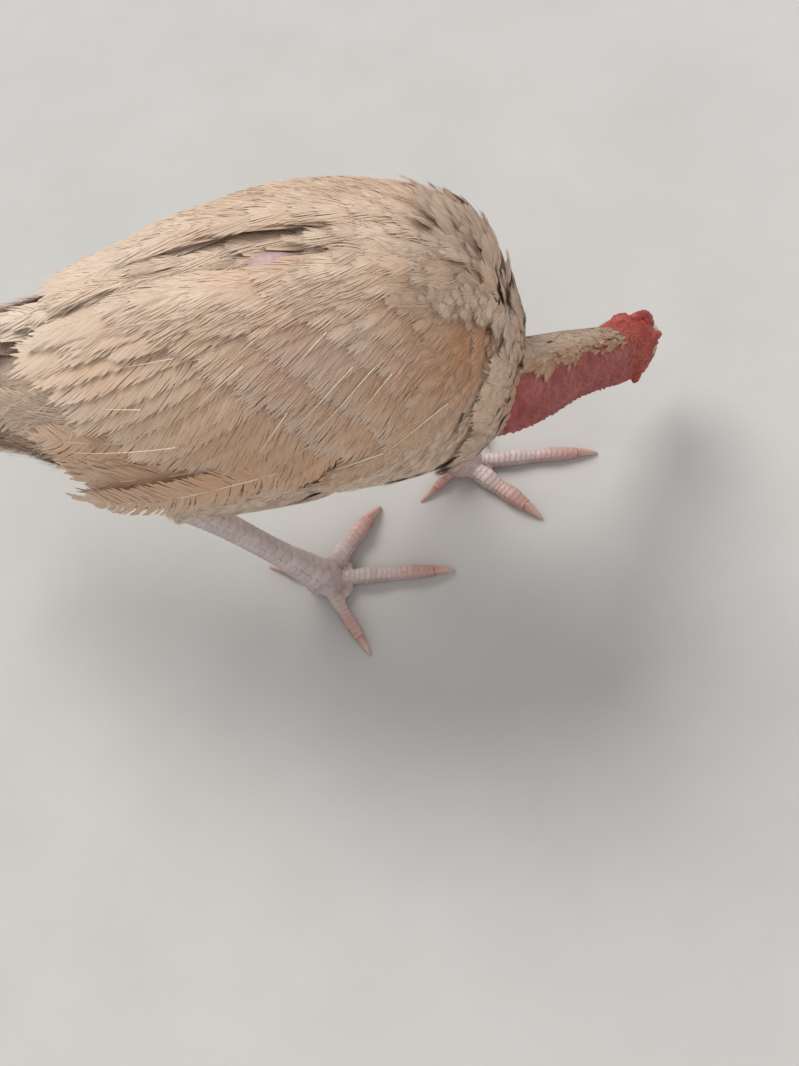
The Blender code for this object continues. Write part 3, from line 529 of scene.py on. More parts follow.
class Coat:
    """One coat piece: feathers laid on the bird, gathered and made into one mesh."""

    def __init__(self, name, slot, window):
        self.name = name
        self.slot = slot
        self.window = window
        self.parts = []
        self.number = 0

    def lay(self, kind, lie, width, roll, crown, tint):
        """Lays feathers of a kind along their paths. Tint is how warm, pale and rose each one is."""
        self.number += 1
        draw = np.random.default_rng(SEED * 1000 + self.number)
        n = len(lie.length)
        width = np.broadcast_to(np.asarray(width, float), n)
        roll = np.broadcast_to(np.radians(roll), n)
        tint = np.broadcast_to(np.asarray(tint, float), (n, 3)) if np.ndim(tint) < 2 else tint
        choice = draw.integers(0, len(KINDS[kind]), n)
        shade = draw.uniform(0, 1, n)
        for number, pattern in enumerate(KINDS[kind]):
            pick = np.flatnonzero(choice == number)
            if not len(pick):
                continue
            t = pattern.t * STEPS
            k = np.clip(t.astype(int), 0, STEPS - 1)
            f = (t - k)[None, :, None]
            points, across, normal = ((1 - f) * v[pick][:, k] + f * v[pick][:, k + 1]
                                      for v in (lie.points, lie.across, lie.normal))
            c = np.cos(roll[pick])[:, None, None]
            s = np.sin(roll[pick])[:, None, None]
            side = c * across + s * normal
            rise = c * normal - s * across
            half = 0.5 * width[pick][:, None, None]
            aside = pattern.s[None, :, None] * half
            height = pattern.h[None, :, None] - crown * pattern.s[None, :, None] ** 2 * half
            points = points + side * aside + rise * height
            size = np.array(self.window[1]) - self.window[0]
            place = (lie.root[pick] - self.window[0]) / size * 0.98 + 0.01
            patch = BAKE_PATCH * columns(0.5 * pattern.s, pattern.t - 0.5)
            uv = np.clip(place[:, None, :] + patch[None], 0, 1)
            m = len(pattern.t)
            weave = np.broadcast_to(columns(pattern.t, pattern.tone, pattern.quill), (len(pick), m, 3))
            vane = columns(np.abs(aside[..., 0]), pattern.t * lie.length[pick][:, None],
                           STREAK_STEP * shade[pick][:, None])
            tints = np.concatenate((np.repeat(tint[pick][:, None], m, axis=1),
                                    np.repeat(shade[pick][:, None, None], m, axis=1)), axis=2)
            tris = pattern.tris[None] + (np.arange(len(pick)) * m)[:, None, None]
            tris = np.where(lie.sign[pick][:, None, None] > 0, tris, tris[:, :, ::-1])
            self.parts.append([v.reshape(-1, v.shape[-1]) for v in (points, uv, weave, vane, tints, tris)])

    def make(self, material, *nodes):
        points, uv, weave, vane, tints, tris = ([part[k] for part in self.parts] for k in range(6))
        starts = np.cumsum([0] + [len(p) for p in points[:-1]])
        tris = np.concatenate([f + start for f, start in zip(tris, starts)])
        obj = put(self.name, np.concatenate(points), tris)
        mesh = obj.data
        corners = tris.ravel()
        layer = mesh.uv_layers.new(name="OFBake")
        layer.data.foreach_set("uv", np.concatenate(uv)[corners].astype(np.float32).ravel())
        for name, values, kind in (("weave", np.concatenate(weave), "FLOAT_VECTOR"),
                                   ("vane", np.concatenate(vane), "FLOAT_VECTOR"),
                                   ("tint", np.concatenate(tints), "FLOAT_COLOR")):
            field = mesh.attributes.new(name, kind, "POINT")
            key = "vector" if kind == "FLOAT_VECTOR" else "color"
            field.data.foreach_set(key, values.astype(np.float32).ravel())
        mesh.materials.append(material)
        print("coat", self.name, len(tris), flush=True)
        place_piece(obj, self.slot, *nodes)


def add_object(name, data):
    obj = bpy.data.objects.new(name, data)
    bpy.context.scene.collection.objects.link(obj)
    return obj


def put(name, points, faces):
    """Makes an object from points in millimetres and triangles."""
    points = (np.asarray(points, float) - ORIGIN) * MM
    faces = np.asarray(faces)
    mesh = bpy.data.meshes.new(name)
    sides = faces.shape[1]
    mesh.vertices.add(len(points))
    mesh.vertices.foreach_set("co", points.astype(np.float32).ravel())
    mesh.loops.add(faces.size)
    mesh.loops.foreach_set("vertex_index", faces.astype(np.int32).ravel())
    mesh.polygons.add(len(faces))
    mesh.polygons.foreach_set("loop_start", np.arange(0, faces.size, sides, dtype=np.int32))
    mesh.polygons.foreach_set("loop_total", np.full(len(faces), sides, dtype=np.int32))
    mesh.update(calc_edges=True)
    mesh.shade_smooth()
    return add_object(name, mesh)


def place_piece(obj, slot, *nodes):
    """A piece of the bird rides on its one body, and stands for the nodes it replaces."""
    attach(obj, "root")
    if nodes:
        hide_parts(*nodes)


# Closed shapes for skin, beak and legs

def loft(rings, start=None, end=None):
    """A closed tube through rings of equal count, closed by fans."""
    rings = [np.asarray(r, float) for r in rings]
    n = len(rings[0])
    start = rings[0].mean(axis=0) if start is None else np.asarray(start, float)
    end = rings[-1].mean(axis=0) if end is None else np.asarray(end, float)
    points = np.vstack(rings + [start[None], end[None]])
    first, last = len(points) - 2, len(points) - 1
    base = n * (len(rings) - 1)
    faces = []
    for i in range(n):
        j = (i + 1) % n
        faces.append((first, j, i))
        faces.append((last, base + i, base + j))
        for k in range(0, base, n):
            faces.append((k + i, k + j, k + n + j))
            faces.append((k + i, k + n + j, k + n + i))
    return points, np.array(faces)


def ring(centre, side, up, half, above, below, count, floor=None):
    """An oval ring of points round centre."""
    angles = np.arange(count) * math.tau / count
    rise = np.where(np.sin(angles) > 0, above, below) * np.sin(angles)
    points = centre + np.outer(np.cos(angles) * half, side) + np.outer(rise, up)
    if floor is not None:
        points[:, 2] = np.maximum(points[:, 2], floor)
    return points


def ball(centre, radii, axes=np.eye(3), rows=10, count=16, floor=None):
    """A closed rounded lump with its own three axes."""
    rings = []
    for k in range(1, rows):
        a = math.pi * k / rows
        half, tall = radii[0] * math.sin(a), radii[1] * math.sin(a)
        middle = centre - radii[2] * math.cos(a) * axes[2]
        rings.append(ring(middle, axes[0], axes[1], half, tall, tall, count, floor))
    low, high = centre - radii[2] * axes[2], centre + radii[2] * axes[2]
    if floor is not None:
        low, high = (np.array((p[0], p[1], max(p[2], floor))) for p in (low, high))
    return loft(rings, low, high)


def pipe(path, halves, aboves, belows, count, up=(0.0, 0.0, 1.0), floor=None, end=None):
    """A closed tube along a path with oval sections."""
    path = np.asarray(path, float)
    ahead = unit(np.gradient(path, axis=0))
    side = unit(np.cross(ahead, up))
    rise = unit(np.cross(side, ahead))
    rings = [ring(p, s, u, h, a, b, count, floor)
             for p, s, u, h, a, b in zip(path, side, rise, halves, aboves, belows)]
    return loft(rings, None, end)


def join(shapes):
    points, faces, start = [], [], 0
    for p, f in shapes:
        points.append(p)
        faces.append(f + start)
        start += len(p)
    return np.vstack(points), np.vstack(faces)


def skin_over(name, shapes, voxel, smooth):
    """One closed surface over overlapping shapes."""
    obj = put(name, *join(shapes))
    remesh = obj.modifiers.new("remesh", "REMESH")
    remesh.mode = "VOXEL"
    remesh.voxel_size = voxel * MM
    soften = obj.modifiers.new("smooth", "SMOOTH")
    soften.factor = 0.5
    soften.iterations = smooth
    apply_modifiers(obj)
    obj.data.shade_smooth()
    return obj


def skin_arrays(shapes, voxel, smooth):
    """The same, as points, normals and four-sided faces."""
    obj = skin_over("draft", shapes, voxel, smooth)
    points, normals = points_of(obj)
    faces = np.zeros(len(obj.data.loops), np.int32)
    obj.data.loops.foreach_get("vertex_index", faces)
    bpy.data.objects.remove(obj)
    return points, normals, faces.reshape(-1, 4)


def apply_modifiers(obj):
    depsgraph = bpy.context.evaluated_depsgraph_get()
    mesh = bpy.data.meshes.new_from_object(obj.evaluated_get(depsgraph))
    obj.modifiers.clear()
    old = obj.data
    obj.data = mesh
    bpy.data.meshes.remove(old)


def points_of(obj):
    """The vertices of an object, in millimetres, and their normals."""
    count = len(obj.data.vertices)
    co = np.zeros(count * 3, np.float32)
    obj.data.vertices.foreach_get("co", co)
    normals = np.zeros(count * 3, np.float32)
    obj.data.vertices.foreach_get("normal", normals)
    return co.reshape(-1, 3) / MM + ORIGIN, normals.reshape(-1, 3).astype(float)


def set_points(obj, points):
    co = ((points - ORIGIN) * MM).astype(np.float32)
    obj.data.vertices.foreach_set("co", co.ravel())
    obj.data.update()


def wave_noise(points, scale, seed, octaves=3):
    """A smooth random field of about -1 to 1, made of slanted waves."""
    draw = np.random.default_rng(seed)
    total = np.zeros(len(points))
    for octave in range(octaves):
        for _ in range(5):
            way = unit(draw.normal(size=3)) * (2 ** octave) * math.tau / scale
            total += np.sin(points @ way + draw.uniform(0, math.tau)) / (5 ** 0.5 * 1.6 ** octave)
    return total * 0.8


# Head directions

def head_axes():
    """The head's own directions: right, up and ahead along the beak."""
    ahead = unit(BEAK_TIP - HEAD_CENTRE)
    right = unit(np.cross(ahead, (0.0, 0.0, 1.0)))
    return np.array((right, np.cross(right, ahead), ahead))


def on_head(along, above, aside):
    right, up, ahead = head_axes()
    return HEAD_CENTRE + along * ahead + above * up + aside * right


def lump(form, side=1, rows=10, count=16):
    (along, above, aside), radii = form
    return ball(on_head(along, above, side * aside), radii, head_axes(), rows, count)


# Materials

class Paint:
    """Small helper that adds and links shader nodes of one material."""

    def __init__(self, name, roughness, **facts):
        self.material = bpy.data.materials.new(name)
        self.material.use_nodes = True
        self.tree = self.material.node_tree
        self.shader = self.tree.nodes["Principled BSDF"]
        self.shader.inputs["Roughness"].default_value = roughness
        for key, value in facts.items():
            self.shader.inputs[key.replace("_", " ")].default_value = value
        self.coords = self.node("TexCoord", "Object")

    def link(self, source, target):
        """Links a socket, or sets a plain value."""
        if isinstance(source, bpy.types.NodeSocket):
            self.tree.links.new(source, target)
        else:
            target.default_value = (*source, 1.0) if target.type == "RGBA" else source

    def node(self, kind, output=0, inputs=None, **settings):
        """Adds a node with its settings and inputs, and gives one of its outputs."""
        node = self.tree.nodes.new("ShaderNode" + kind)
        for key, value in settings.items():
            setattr(node, key, value)
        for key, value in (inputs or {}).items():
            self.link(value, node.inputs[key])
        return node.outputs[output]

    def noise(self, scale, detail=3.0, rough=0.55, place=None):
        place = self.coords if place is None else place
        return self.node("TexNoise", "Fac", {"Scale": scale, "Detail": detail, "Roughness": rough,
                                             "Vector": place})

    def cells(self, scale, feature):
        return self.node("TexVoronoi", "Distance", {"Scale": scale, "Vector": self.coords}, feature=feature)

    def field(self, name, output="Vector"):
        """A value that the mesh holds for each of its points."""
        return self.node("Attribute", output, attribute_name=name)

    def split(self, source, kind="SeparateXYZ"):
        return list(self.node(kind, 0, {0: source}).node.outputs)

    def combine(self, x, y, z=0.0):
        return self.node("CombineXYZ", 0, {"X": x, "Y": y, "Z": z})

    def math(self, operation, a, b=0.5, c=0.5):
        return self.node("Math", 0, {0: a, 1: b, 2: c}, operation=operation)

    def times(self, a, b):
        return self.math("MULTIPLY", a, b)

    def scale(self, value, low, high, to_low=0.0, to_high=1.0):
        return self.node("MapRange", "Result", {"Value": value, "From Min": low, "From Max": high,
                                                "To Min": to_low, "To Max": to_high})

    def mix(self, a, b, share):
        node = self.node("Mix", 0, {"Factor": share}, data_type="RGBA").node
        for value, socket in zip((a, b), (s for s in node.inputs if s.type == "RGBA")):
            self.link(value, socket)
        return next(s for s in node.outputs if s.type == "RGBA")

    def bright(self, colour, value):
        """Multiplies a colour by a value."""
        return self.node("VectorMath", 0, {0: colour, "Scale": value}, operation="SCALE")

    def finish(self, colour, height=None, strength=0.0, distance=0.0):
        """Gives the shader its colour and bumps, and returns the material."""
        self.link(colour, self.shader.inputs["Base Color"])
        if height is not None:
            bump = {"Strength": strength, "Distance": distance, "Height": height}
            self.link(self.node("Bump", "Normal", bump), self.shader.inputs["Normal"])
        return self.material


def feather_paint(name, base, pale):
    """Buff feathers, paler at the tip, with each barb and each feather a little lighter or darker."""
    paint = Paint(name, 0.58, Sheen_Weight=0.10, Sheen_Roughness=0.4, Specular_IOR_Level=0.30)
    along, tone, quill = paint.split(paint.field("weave"))
    aside, length, number = paint.split(paint.field("vane"))
    warm, light, rose = paint.split(paint.field("tint", "Color"), "SeparateColor")
    shade = paint.field("tint", "Alpha")
    # fine hairs that run out from the shaft as the barbs do
    slant = paint.math("MULTIPLY_ADD", aside, -1.9, length)
    streak = paint.noise(1.15, 3.0, 0.62, paint.combine(slant, paint.times(aside, 0.10), number))
    cloud = paint.scale(paint.noise(28.0), 0.3, 0.7)
    colour = paint.mix(base, pale, paint.times(cloud, 0.40))
    colour = paint.mix(colour, pale, light)
    colour = paint.mix(colour, WARM, paint.times(warm, paint.scale(along, 0.0, 1.0, 0.6, 1.0)))
    colour = paint.mix(colour, ROSE, rose)
    colour = paint.mix(colour, pale, paint.scale(along, 0.70, 1.05, 0.0, 0.40))
    level = paint.math("MULTIPLY_ADD", tone, BARB_CONTRAST, 1.0 - 0.5 * BARB_CONTRAST)
    level = paint.times(level, paint.scale(shade, 0.0, 1.0, 0.93, 1.06))
    level = paint.times(level, paint.scale(streak, 0.30, 0.70, 0.84, 1.12))
    colour = paint.mix(paint.bright(colour, level), QUILL, paint.times(quill, 0.85))
    return paint.finish(colour, streak, 0.4, 0.0003)


def skin_paint():
    """Bare skin: dark red-pink neck, red face and purplish patch on the back; the neck and face reds are
    darkened partly as painted shade. Under feathers it is buff.
    """
    paint = Paint("skin", 0.52, Specular_IOR_Level=0.35, Subsurface_Weight=0.08, Subsurface_Scale=0.0015)
    face, neck, patch = paint.split(paint.field("zone"))
    blotch = paint.scale(paint.noise(70.0, 4.0), 0.35, 0.68)
    vein = paint.scale(paint.noise(240.0, 5.0, 0.65), 0.42, 0.62)
    fine = paint.scale(paint.noise(520.0), 0.3, 0.7)
    colour = paint.mix((0.50, 0.34, 0.235), (0.60, 0.44, 0.32), blotch)
    # the deep reds of the neck and face are their own colour, darkened partly as painted shade
    for share, low, high in ((patch, (0.52, 0.36, 0.35), (0.42, 0.245, 0.26)),
                             (neck, (0.27, 0.055, 0.052), (0.40, 0.125, 0.105)),
                             (face, (0.29, 0.026, 0.024), (0.41, 0.078, 0.058))):
        colour = paint.mix(colour, paint.mix(low, high, blotch), share)
    colour = paint.mix(colour, (0.24, 0.020, 0.022), paint.times(vein, paint.times(neck, 0.35)))
    colour = paint.bright(colour, paint.math("MULTIPLY_ADD", fine, 0.30, 0.85))
    pores = paint.times(paint.cells(900.0, "SMOOTH_F1"), 0.7)
    return paint.finish(colour, paint.math("ADD", pores, paint.noise(380.0, 4.0)), 0.5, 0.0004)


def comb_paint():
    paint = Paint("comb", 0.45, Specular_IOR_Level=0.4, Subsurface_Weight=0.12, Subsurface_Scale=0.0015)
    cloud = paint.scale(paint.noise(150.0, 4.0), 0.3, 0.7)
    colour = paint.mix((0.30, 0.024, 0.022), (0.42, 0.068, 0.05), cloud)
    pits = paint.math("ADD", paint.cells(900.0, "SMOOTH_F1"), paint.noise(700.0))
    return paint.finish(colour, pits, 0.5, 0.0004)


def horn_paint(name, pale, dark):
    """Horn: streaked along its length, darker at its root, with fine layers."""
    paint = Paint(name, 0.40, Specular_IOR_Level=0.40)
    along, around, _ = paint.split(paint.field("zone"))
    streak = paint.noise(1.0, 4.0, 0.5, paint.combine(paint.times(along, 2.5), paint.times(around, 22.0)))
    root = paint.scale(along, 0.55, 0.0, 0.0, 0.55)
    share = paint.math("ADD", paint.scale(streak, 0.35, 0.70, 0.0, 0.75), root)
    colour = paint.bright(paint.mix(pale, dark, share), paint.scale(paint.noise(420.0), 0.3, 0.7, 0.92, 1.05))
    layers = paint.times(paint.noise(900.0), 0.5)
    return paint.finish(colour, paint.math("ADD", streak, layers), 0.35, 0.0003)


def scute_paint(name, raised):
    """Leg scales: greyish pink, redder near the toe tips and paler on the raised plates."""
    paint = Paint(name, 0.48, Specular_IOR_Level=0.38, Subsurface_Weight=0.06, Subsurface_Scale=0.001)
    red, edge, tone = paint.split(paint.field("zone"))
    base = (0.50, 0.41, 0.385) if raised else (0.44, 0.32, 0.30)
    colour = paint.mix(base, (0.62, 0.53, 0.50), paint.scale(paint.noise(90.0, 4.0), 0.3, 0.7))
    colour = paint.mix(colour, (0.52, 0.24, 0.20), red)
    colour = paint.mix(colour, (0.30, 0.20, 0.185), edge)
    colour = paint.bright(colour, paint.math("MULTIPLY_ADD", tone, 0.14, 0.93))
    if raised:
        return paint.finish(colour, paint.noise(600.0, 4.0), 0.3, 0.0003)
    cells = paint.scale(paint.cells(520.0, "DISTANCE_TO_EDGE"), 0.0, 0.12)
    return paint.finish(colour, cells, 0.7, 0.0005)


# Colours of the eye by the distance from its middle, as a share of its radius
IRIS = ((0.0, (0.004, 0.004, 0.005)), (0.27, (0.005, 0.004, 0.004)), (0.31, (0.22, 0.13, 0.06)),
        (0.40, (0.60, 0.50, 0.34)), (0.60, (0.52, 0.41, 0.25)), (0.70, (0.16, 0.07, 0.04)),
        (0.78, (0.05, 0.02, 0.02)))
EYE_RIM = (0.03, 0.012, 0.012)


def eye_paint():
    """A pearl iris round a dark pupil, by the distance from the middle of the eye's own axis."""
    paint = Paint("eye", 0.12, Specular_IOR_Level=0.45, Coat_Weight=0.35, Coat_Roughness=0.04)
    flat = paint.node("VectorMath", 0, {0: paint.coords, 1: (1.0, 1.0, 0.0)}, operation="MULTIPLY")
    away = paint.node("VectorMath", "Value", {0: flat}, operation="LENGTH")
    ring_colour = paint.node("ValToRGB", "Color", {"Fac": paint.scale(away, 0.0, EYE_RADIUS * MM)})
    rings = ring_colour.node.color_ramp.elements
    for place, colour in IRIS:
        element = rings[0] if place == 0.0 else rings.new(place)
        element.color = (*colour, 1.0)
    rings[-1].color = (*EYE_RIM, 1.0)
    fleck = paint.scale(paint.noise(1500.0), 0.3, 0.7, 0.75, 1.1)
    return paint.finish(paint.bright(ring_colour, fleck))


# The bird's skin

def skin_zones(obj, values):
    field = obj.data.attributes.new("zone", "FLOAT_VECTOR", "POINT")
    field.data.foreach_set("vector", np.asarray(values, np.float32).ravel())


def neck_surface():
    joint = HEAD_CENTRE + (HEAD[0][0] + 4) * head_axes()[2]
    return tube((*NECK_PATH, joint), NECK_RADII, NECK_RADII, (0.0, 0.0, 1.0))


def thigh_surface(name):
    """The thigh with its coat, measured from the hock upwards."""
    leg = LEGS[name]
    hock, top = np.array(leg["hock"]), np.array(leg["top"])
    end = hock + unit(top - hock) * 2.0
    middle = hock + (top - hock) * 0.45 + (0, 0, 2.0)
    radii = THIGH_RADII[::-1]
    return tube((end, middle, top), radii, radii, (0.0, 0.0, 1.0))


def rings_of(surface, places, count, grow):
    """Rings round a tube surface, moved out by grow."""
    turn = np.arange(count) * 360 / count
    rings = []
    for a in places:
        points = surface(np.full(count, a), turn)
        rings.append(points + unit(points - points.mean(axis=0)) * grow)
    return rings


# Half thickness of the folded arm, and its depth under the outline
ARM_HALF = 2.2
ARM_DEPTH = 7.6


def wing_slab(side):
    """The folded arm under its feathers."""
    turns = np.linspace(9, 84, 9)
    front = spline(*zip(*WING_EDGE), turns) - 5
    rings = []
    for u in np.linspace(0, 1, 8):
        x = front + (-10 + 30 * np.linspace(0, 1, 9) - front) * u
        rounded = np.sin(np.linspace(0.15, math.pi - 0.15, 9)) ** 0.5
        thick = ARM_HALF * math.sqrt(max(0.05, 1 - (2 * u - 1) ** 4)) * rounded
        normal = frame_on(body, x, side * turns)[2]
        points = body(x, side * turns)
        top = points + normal * (thick - ARM_DEPTH)[:, None]
        low = points + normal * (-thick - ARM_DEPTH)[:, None]
        rings.append(np.vstack((top, low[::-1])))
    return loft(rings)


def eye_place(side):
    """Middle of an eye and its own directions: forwards, up, and out along its gaze."""
    right, up, ahead = head_axes()
    gaze = unit(side * right + 0.14 * ahead + 0.05 * up)
    front = unit(ahead - (ahead @ gaze) * gaze)
    return on_head(EYE_AT[0], EYE_AT[1], side * (EYE_AT[2] - 0.5)), front, np.cross(gaze, front) * side, gaze


def head_shapes():
    right, up, _ = head_axes()
    rings = [ring(on_head(t, 0, 0), right, up, half, above, below, 48)
             for t, (half, above, below) in zip(HEAD_STATIONS, spline(*head_table(), HEAD_STATIONS))]
    shapes = [loft(rings), lump(DEWLAP, 1, 16, 32)]
    for side in (1, -1):
        shapes += [lump(form, side, 16, 32) for form in (BROW, CHEEK, WATTLE, EARLOBE, JAW)]
        shapes.append(ball(eye_place(side)[0], (EYE_RADIUS + 0.95,) * 3, rows=20, count=36))
    # soft skin that laps over the base of the beak
    table = np.array(BEAK_UPPER)
    collar = []
    for t, grow in ((8.0, 0.6), (12.0, 1.0), (14.4, 1.0), (15.6, 0.3)):
        half, high, low = spline(table[:, 0], table[:, 1:], t)
        tall = 0.5 * (high - low) + grow
        collar.append(ring(on_head(t, 0.5 * (high + low), 0), right, up, half + grow, tall, tall, 40))
    shapes.append(loft(collar))
    return shapes


def head_table():
    table = np.array(HEAD)
    return table[:, 0], table[:, 1:]


def shape_head(points, normals):
    """Wrinkles, folds, lids and ear holes of the bare skin, and how far each point is face."""
    local = (points - HEAD_CENTRE) @ head_axes().T
    face = ease(-27, -17, local[:, 2])
    spine = path_at((*NECK_PATH, HEAD_CENTRE), np.linspace(0, 1, 240))
    along = np.empty(len(points))
    for part in np.array_split(np.arange(len(points)), 40):
        away = ((points[part][:, None] - spine[None]) ** 2).sum(axis=2)
        along[part] = away.argmin(axis=1) * 0.42
    slow = wave_noise(points, 26, 5)
    folds = np.sin(along * math.tau / 4.6 + 2.2 * slow) * (0.26 + 0.16 * wave_noise(points, 18, 6))
    sag = 0.8 * np.maximum(0, wave_noise(points, 12, 3)) - 0.3
    pimples = np.maximum(0, wave_noise(points, 2.4, 8, 2)) ** 1.5 * 0.34
    wrinkles = -0.34 * np.exp(-(wave_noise(points, 7.0, 15, 3) / 0.22) ** 2)
    move = (1 - face) * (folds + 0.6 * sag) + pimples * (1 - 0.45 * face) + wrinkles * (0.5 + 0.5 * face)
    for side in (1, -1):
        centre, front, up, gaze = eye_place(side)
        way = points - centre
        out = np.linalg.norm(way, axis=1)
        across, above, depth = way @ front, way @ up, way @ gaze
        q = np.hypot(across / 4.3, (above + 0.1) / np.where(above > 0, 3.25, 3.45))
        q = np.where((depth > 1.0) & (q < 3.2), q, 9.0)
        hole = ease(1.06, 0.90, q)
        rim = 0.42 * np.exp(-((q - 1.16) / 0.13) ** 2)
        creases = 0.22 * np.cos((q - 1.16) * math.tau / 0.34) * ease(1.3, 1.5, q) * ease(2.5, 1.9, q)
        move = move * (1 - ease(2.4, 1.5, q)) + rim + creases
        points = points + unit(way) * ((EYE_RADIUS - 1.1 - out) * hole)[:, None]
        move *= 1 - hole
        ear = np.linalg.norm(points - on_head(EAR_HOLE[0], EAR_HOLE[1], side * EAR_HOLE[2]), axis=1)
        move += 0.5 * np.exp(-((ear - 3.4) / 0.9) ** 2) - 1.6 * np.exp(-(ear / 1.9) ** 2)
    return points + normals * move[:, None], face


# Bare lumps on the back: x, angle and radii, and how deep their middles lie
PATCH_LUMPS = ((22.0, 7.0, (12.0, 7.0, 4.6)), (31.0, 9.0, (7.0, 5.0, 3.6)))
PATCH_DEPTH = 9.4
BREAST_STATIONS = (90.0, 97.0, 103.0, 108.0, 111.5, 114.0, 118.0, 122.0, 126.0)


def inside_rings(surface, places, depth):
    """Rings that lie inside a surface by a depth, square to it."""
    turns = np.arange(40) * 9.0 - 180
    rings = []
    for place in places:
        a = np.full(40, place)
        rings.append(surface(a, turns) - frame_on(surface, a, turns)[2] * depth)
    return rings


def feathered_shapes(neck):
    """What lies under the coat: torso, roots of tail and neck, thighs, folded arms and bare lumps."""
    rings = [torso_ring(x, 40, COAT_DEPTH) for x in TORSO_STATIONS[2:]]
    shapes = [loft(rings, rings[0].mean(axis=0) + (2.0, 0, 0))]
    shapes.append(loft([tail_ring(t, 28, -2.5) for t in np.linspace(0, 0.40, 6)]))
    shapes.append(loft(rings_of(neck, np.linspace(0, 44, 8), 28, -1.0)))
    for name in LEGS:
        thigh = thigh_surface(name)
        shapes.append(loft(rings_of(thigh, np.linspace(0, thigh.reach, 8), 24, -COAT_DEPTH + 1.2)))
    shapes += [wing_slab(1), wing_slab(-1)]
    for x, turn, radii in PATCH_LUMPS:
        shapes.append(ball(body(x, turn) - (0, 0, PATCH_DEPTH), radii))
    shapes.append(loft(inside_rings(body, BREAST_STATIONS, 4.2)))
    shapes.append(loft(inside_rings(throat_surface(), np.linspace(-28, 2, 11), 2.8)))
    return shapes


def make_skin():
    """One skin from the head to the tail's root, under the feathers and bare where the bird is bare."""
    neck = neck_surface()
    coarse, _, coarse_faces = skin_arrays(feathered_shapes(neck), 2.8, 3)
    patch = np.exp(-(((coarse[:, 0] - 24) / 24) ** 2 + ((coarse[:, 1] + 16) / 13) ** 2) ** 2)
    patch = patch * (coarse[:, 2] > 190)
    bare = [loft(rings_of(neck, np.linspace(16, neck.reach, 20), 56, 0.0)), *head_shapes()]
    fine, normals, fine_faces = skin_arrays(bare, 0.60, 2)
    fine, face = shape_head(fine, normals)
    obj = put("skin", np.vstack((coarse, fine)), np.vstack((coarse_faces, fine_faces + len(coarse))))
    # how far each point is face, neck and patch
    skin_zones(obj, np.vstack((columns(0.0, 0.0, patch), columns(face, 1.0, 0.0))))
    obj.data.materials.append(skin_paint())
    print("skin", len(coarse_faces), len(fine_faces), flush=True)
    place_piece(obj, "bare_skin", "torso", "neck", "head", "thigh_right", "thigh_left", "dewlap",
                "wattle_right", "wattle_left", "earlobe_right", "earlobe_left")


# The tail

# Feathers of each side: pairs, pitch across, layer height, and roll from one to the next in degrees
TAIL_PAIRS = 6
TAIL_PITCH = 6.0
TAIL_LAYER = 1.3
TAIL_ROLL_STEP = 5.0
# The fleshy root's reach as a share of the tail, the feathers' start along it, and how they spread and sag
TAIL_BLOCK = 0.42
TAIL_START = 24.0
TAIL_SPREAD = (0.8, 1.1)
TAIL_SAG = 3.0
TAIL_TIP = np.array((-214.0, 0.5, 145.0))
# How much shorter each pair is than the one above it
TAIL_TAPER = 0.018
# Two tiers of coverts over the quills and a soft layer at their roots: kind, width, pairs, length as a share
# of the tail's, start along it, start above it and lift
TAIL_COVERTS = (
    ("covert", 17.0, 6, 0.50, 10.0, 7.0, 1.2),
    ("covert", 16.0, 6, 0.40, 2.0, 8.5, 2.0),
    ("contour", 14.0, 7, 0.34, -8.0, 10.0, 3.0),
)
# Down under the tail: length as a share, start, lift, and how far the tier is drawn in
TAIL_DOWN = ((0.62, 6.0, -3.0, 1.0), (0.54, -2.0, -6.5, 0.8))


def tail_frame():
    base = torso_ring(TORSO_REAR, 20, 0.0)
    centre = base.mean(axis=0)
    reach = np.linalg.norm(TAIL_TIP - centre)
    axis = (TAIL_TIP - centre) / reach
    return centre, axis, reach


def tail_ring(t, count, grow):
    """A section of the fleshy root of the tail, as a share of the tail's length."""
    centre, axis, reach = tail_frame()
    base = torso_ring(TORSO_REAR, count, 0.0)
    shrink = 1 - 0.75 * (t / TAIL_BLOCK) ** 1.3
    points = centre + axis * reach * t + (base - centre) * (1.0, shrink, shrink)
    return points + unit(points - points.mean(axis=0)) * grow


def tail_places(pairs):
    """Where each tail feather of one side lies in the tail's cross-section: across, up, and its roll."""
    across, up, roll = 2.2, 0.0, 14.0
    for _ in range(pairs):
        yield across, up, roll
        a = math.radians(roll)
        across += TAIL_PITCH * math.cos(a) - TAIL_LAYER * math.sin(a)
        up -= TAIL_PITCH * math.sin(a) + TAIL_LAYER * math.cos(a)
        roll += TAIL_ROLL_STEP


class TailLie:
    """How feathers lie in the tail: start, length and lift for each, spreading outwards."""

    def __init__(self, start, length, across, up, lift, side):
        _, axis, _ = tail_frame()
        lateral = columns(0.0, -side, 0.0)
        upward = unit(np.cross(np.cross(axis, (0.0, 0.0, 1.0)), axis))
        t = np.linspace(0, 1, STEPS + 1)
        wide = TAIL_SPREAD[0] + (TAIL_SPREAD[1] - TAIL_SPREAD[0]) * t
        height = up[:, None] * wide + lift[:, None] - TAIL_SAG * t * t
        self.points = (start[:, None] + axis * (length[:, None] * t)[..., None]
                       + lateral[:, None] * (across[:, None] * wide)[..., None] + upward * height[..., None])
        self.across = np.repeat(lateral[:, None], STEPS + 1, axis=1)
        self.normal = np.broadcast_to(upward, self.points.shape)
        self.length = length
        self.sign = np.where(side > 0, 1.0, -1.0)
        self.root = columns(start[:, 0], side * (5 + across))


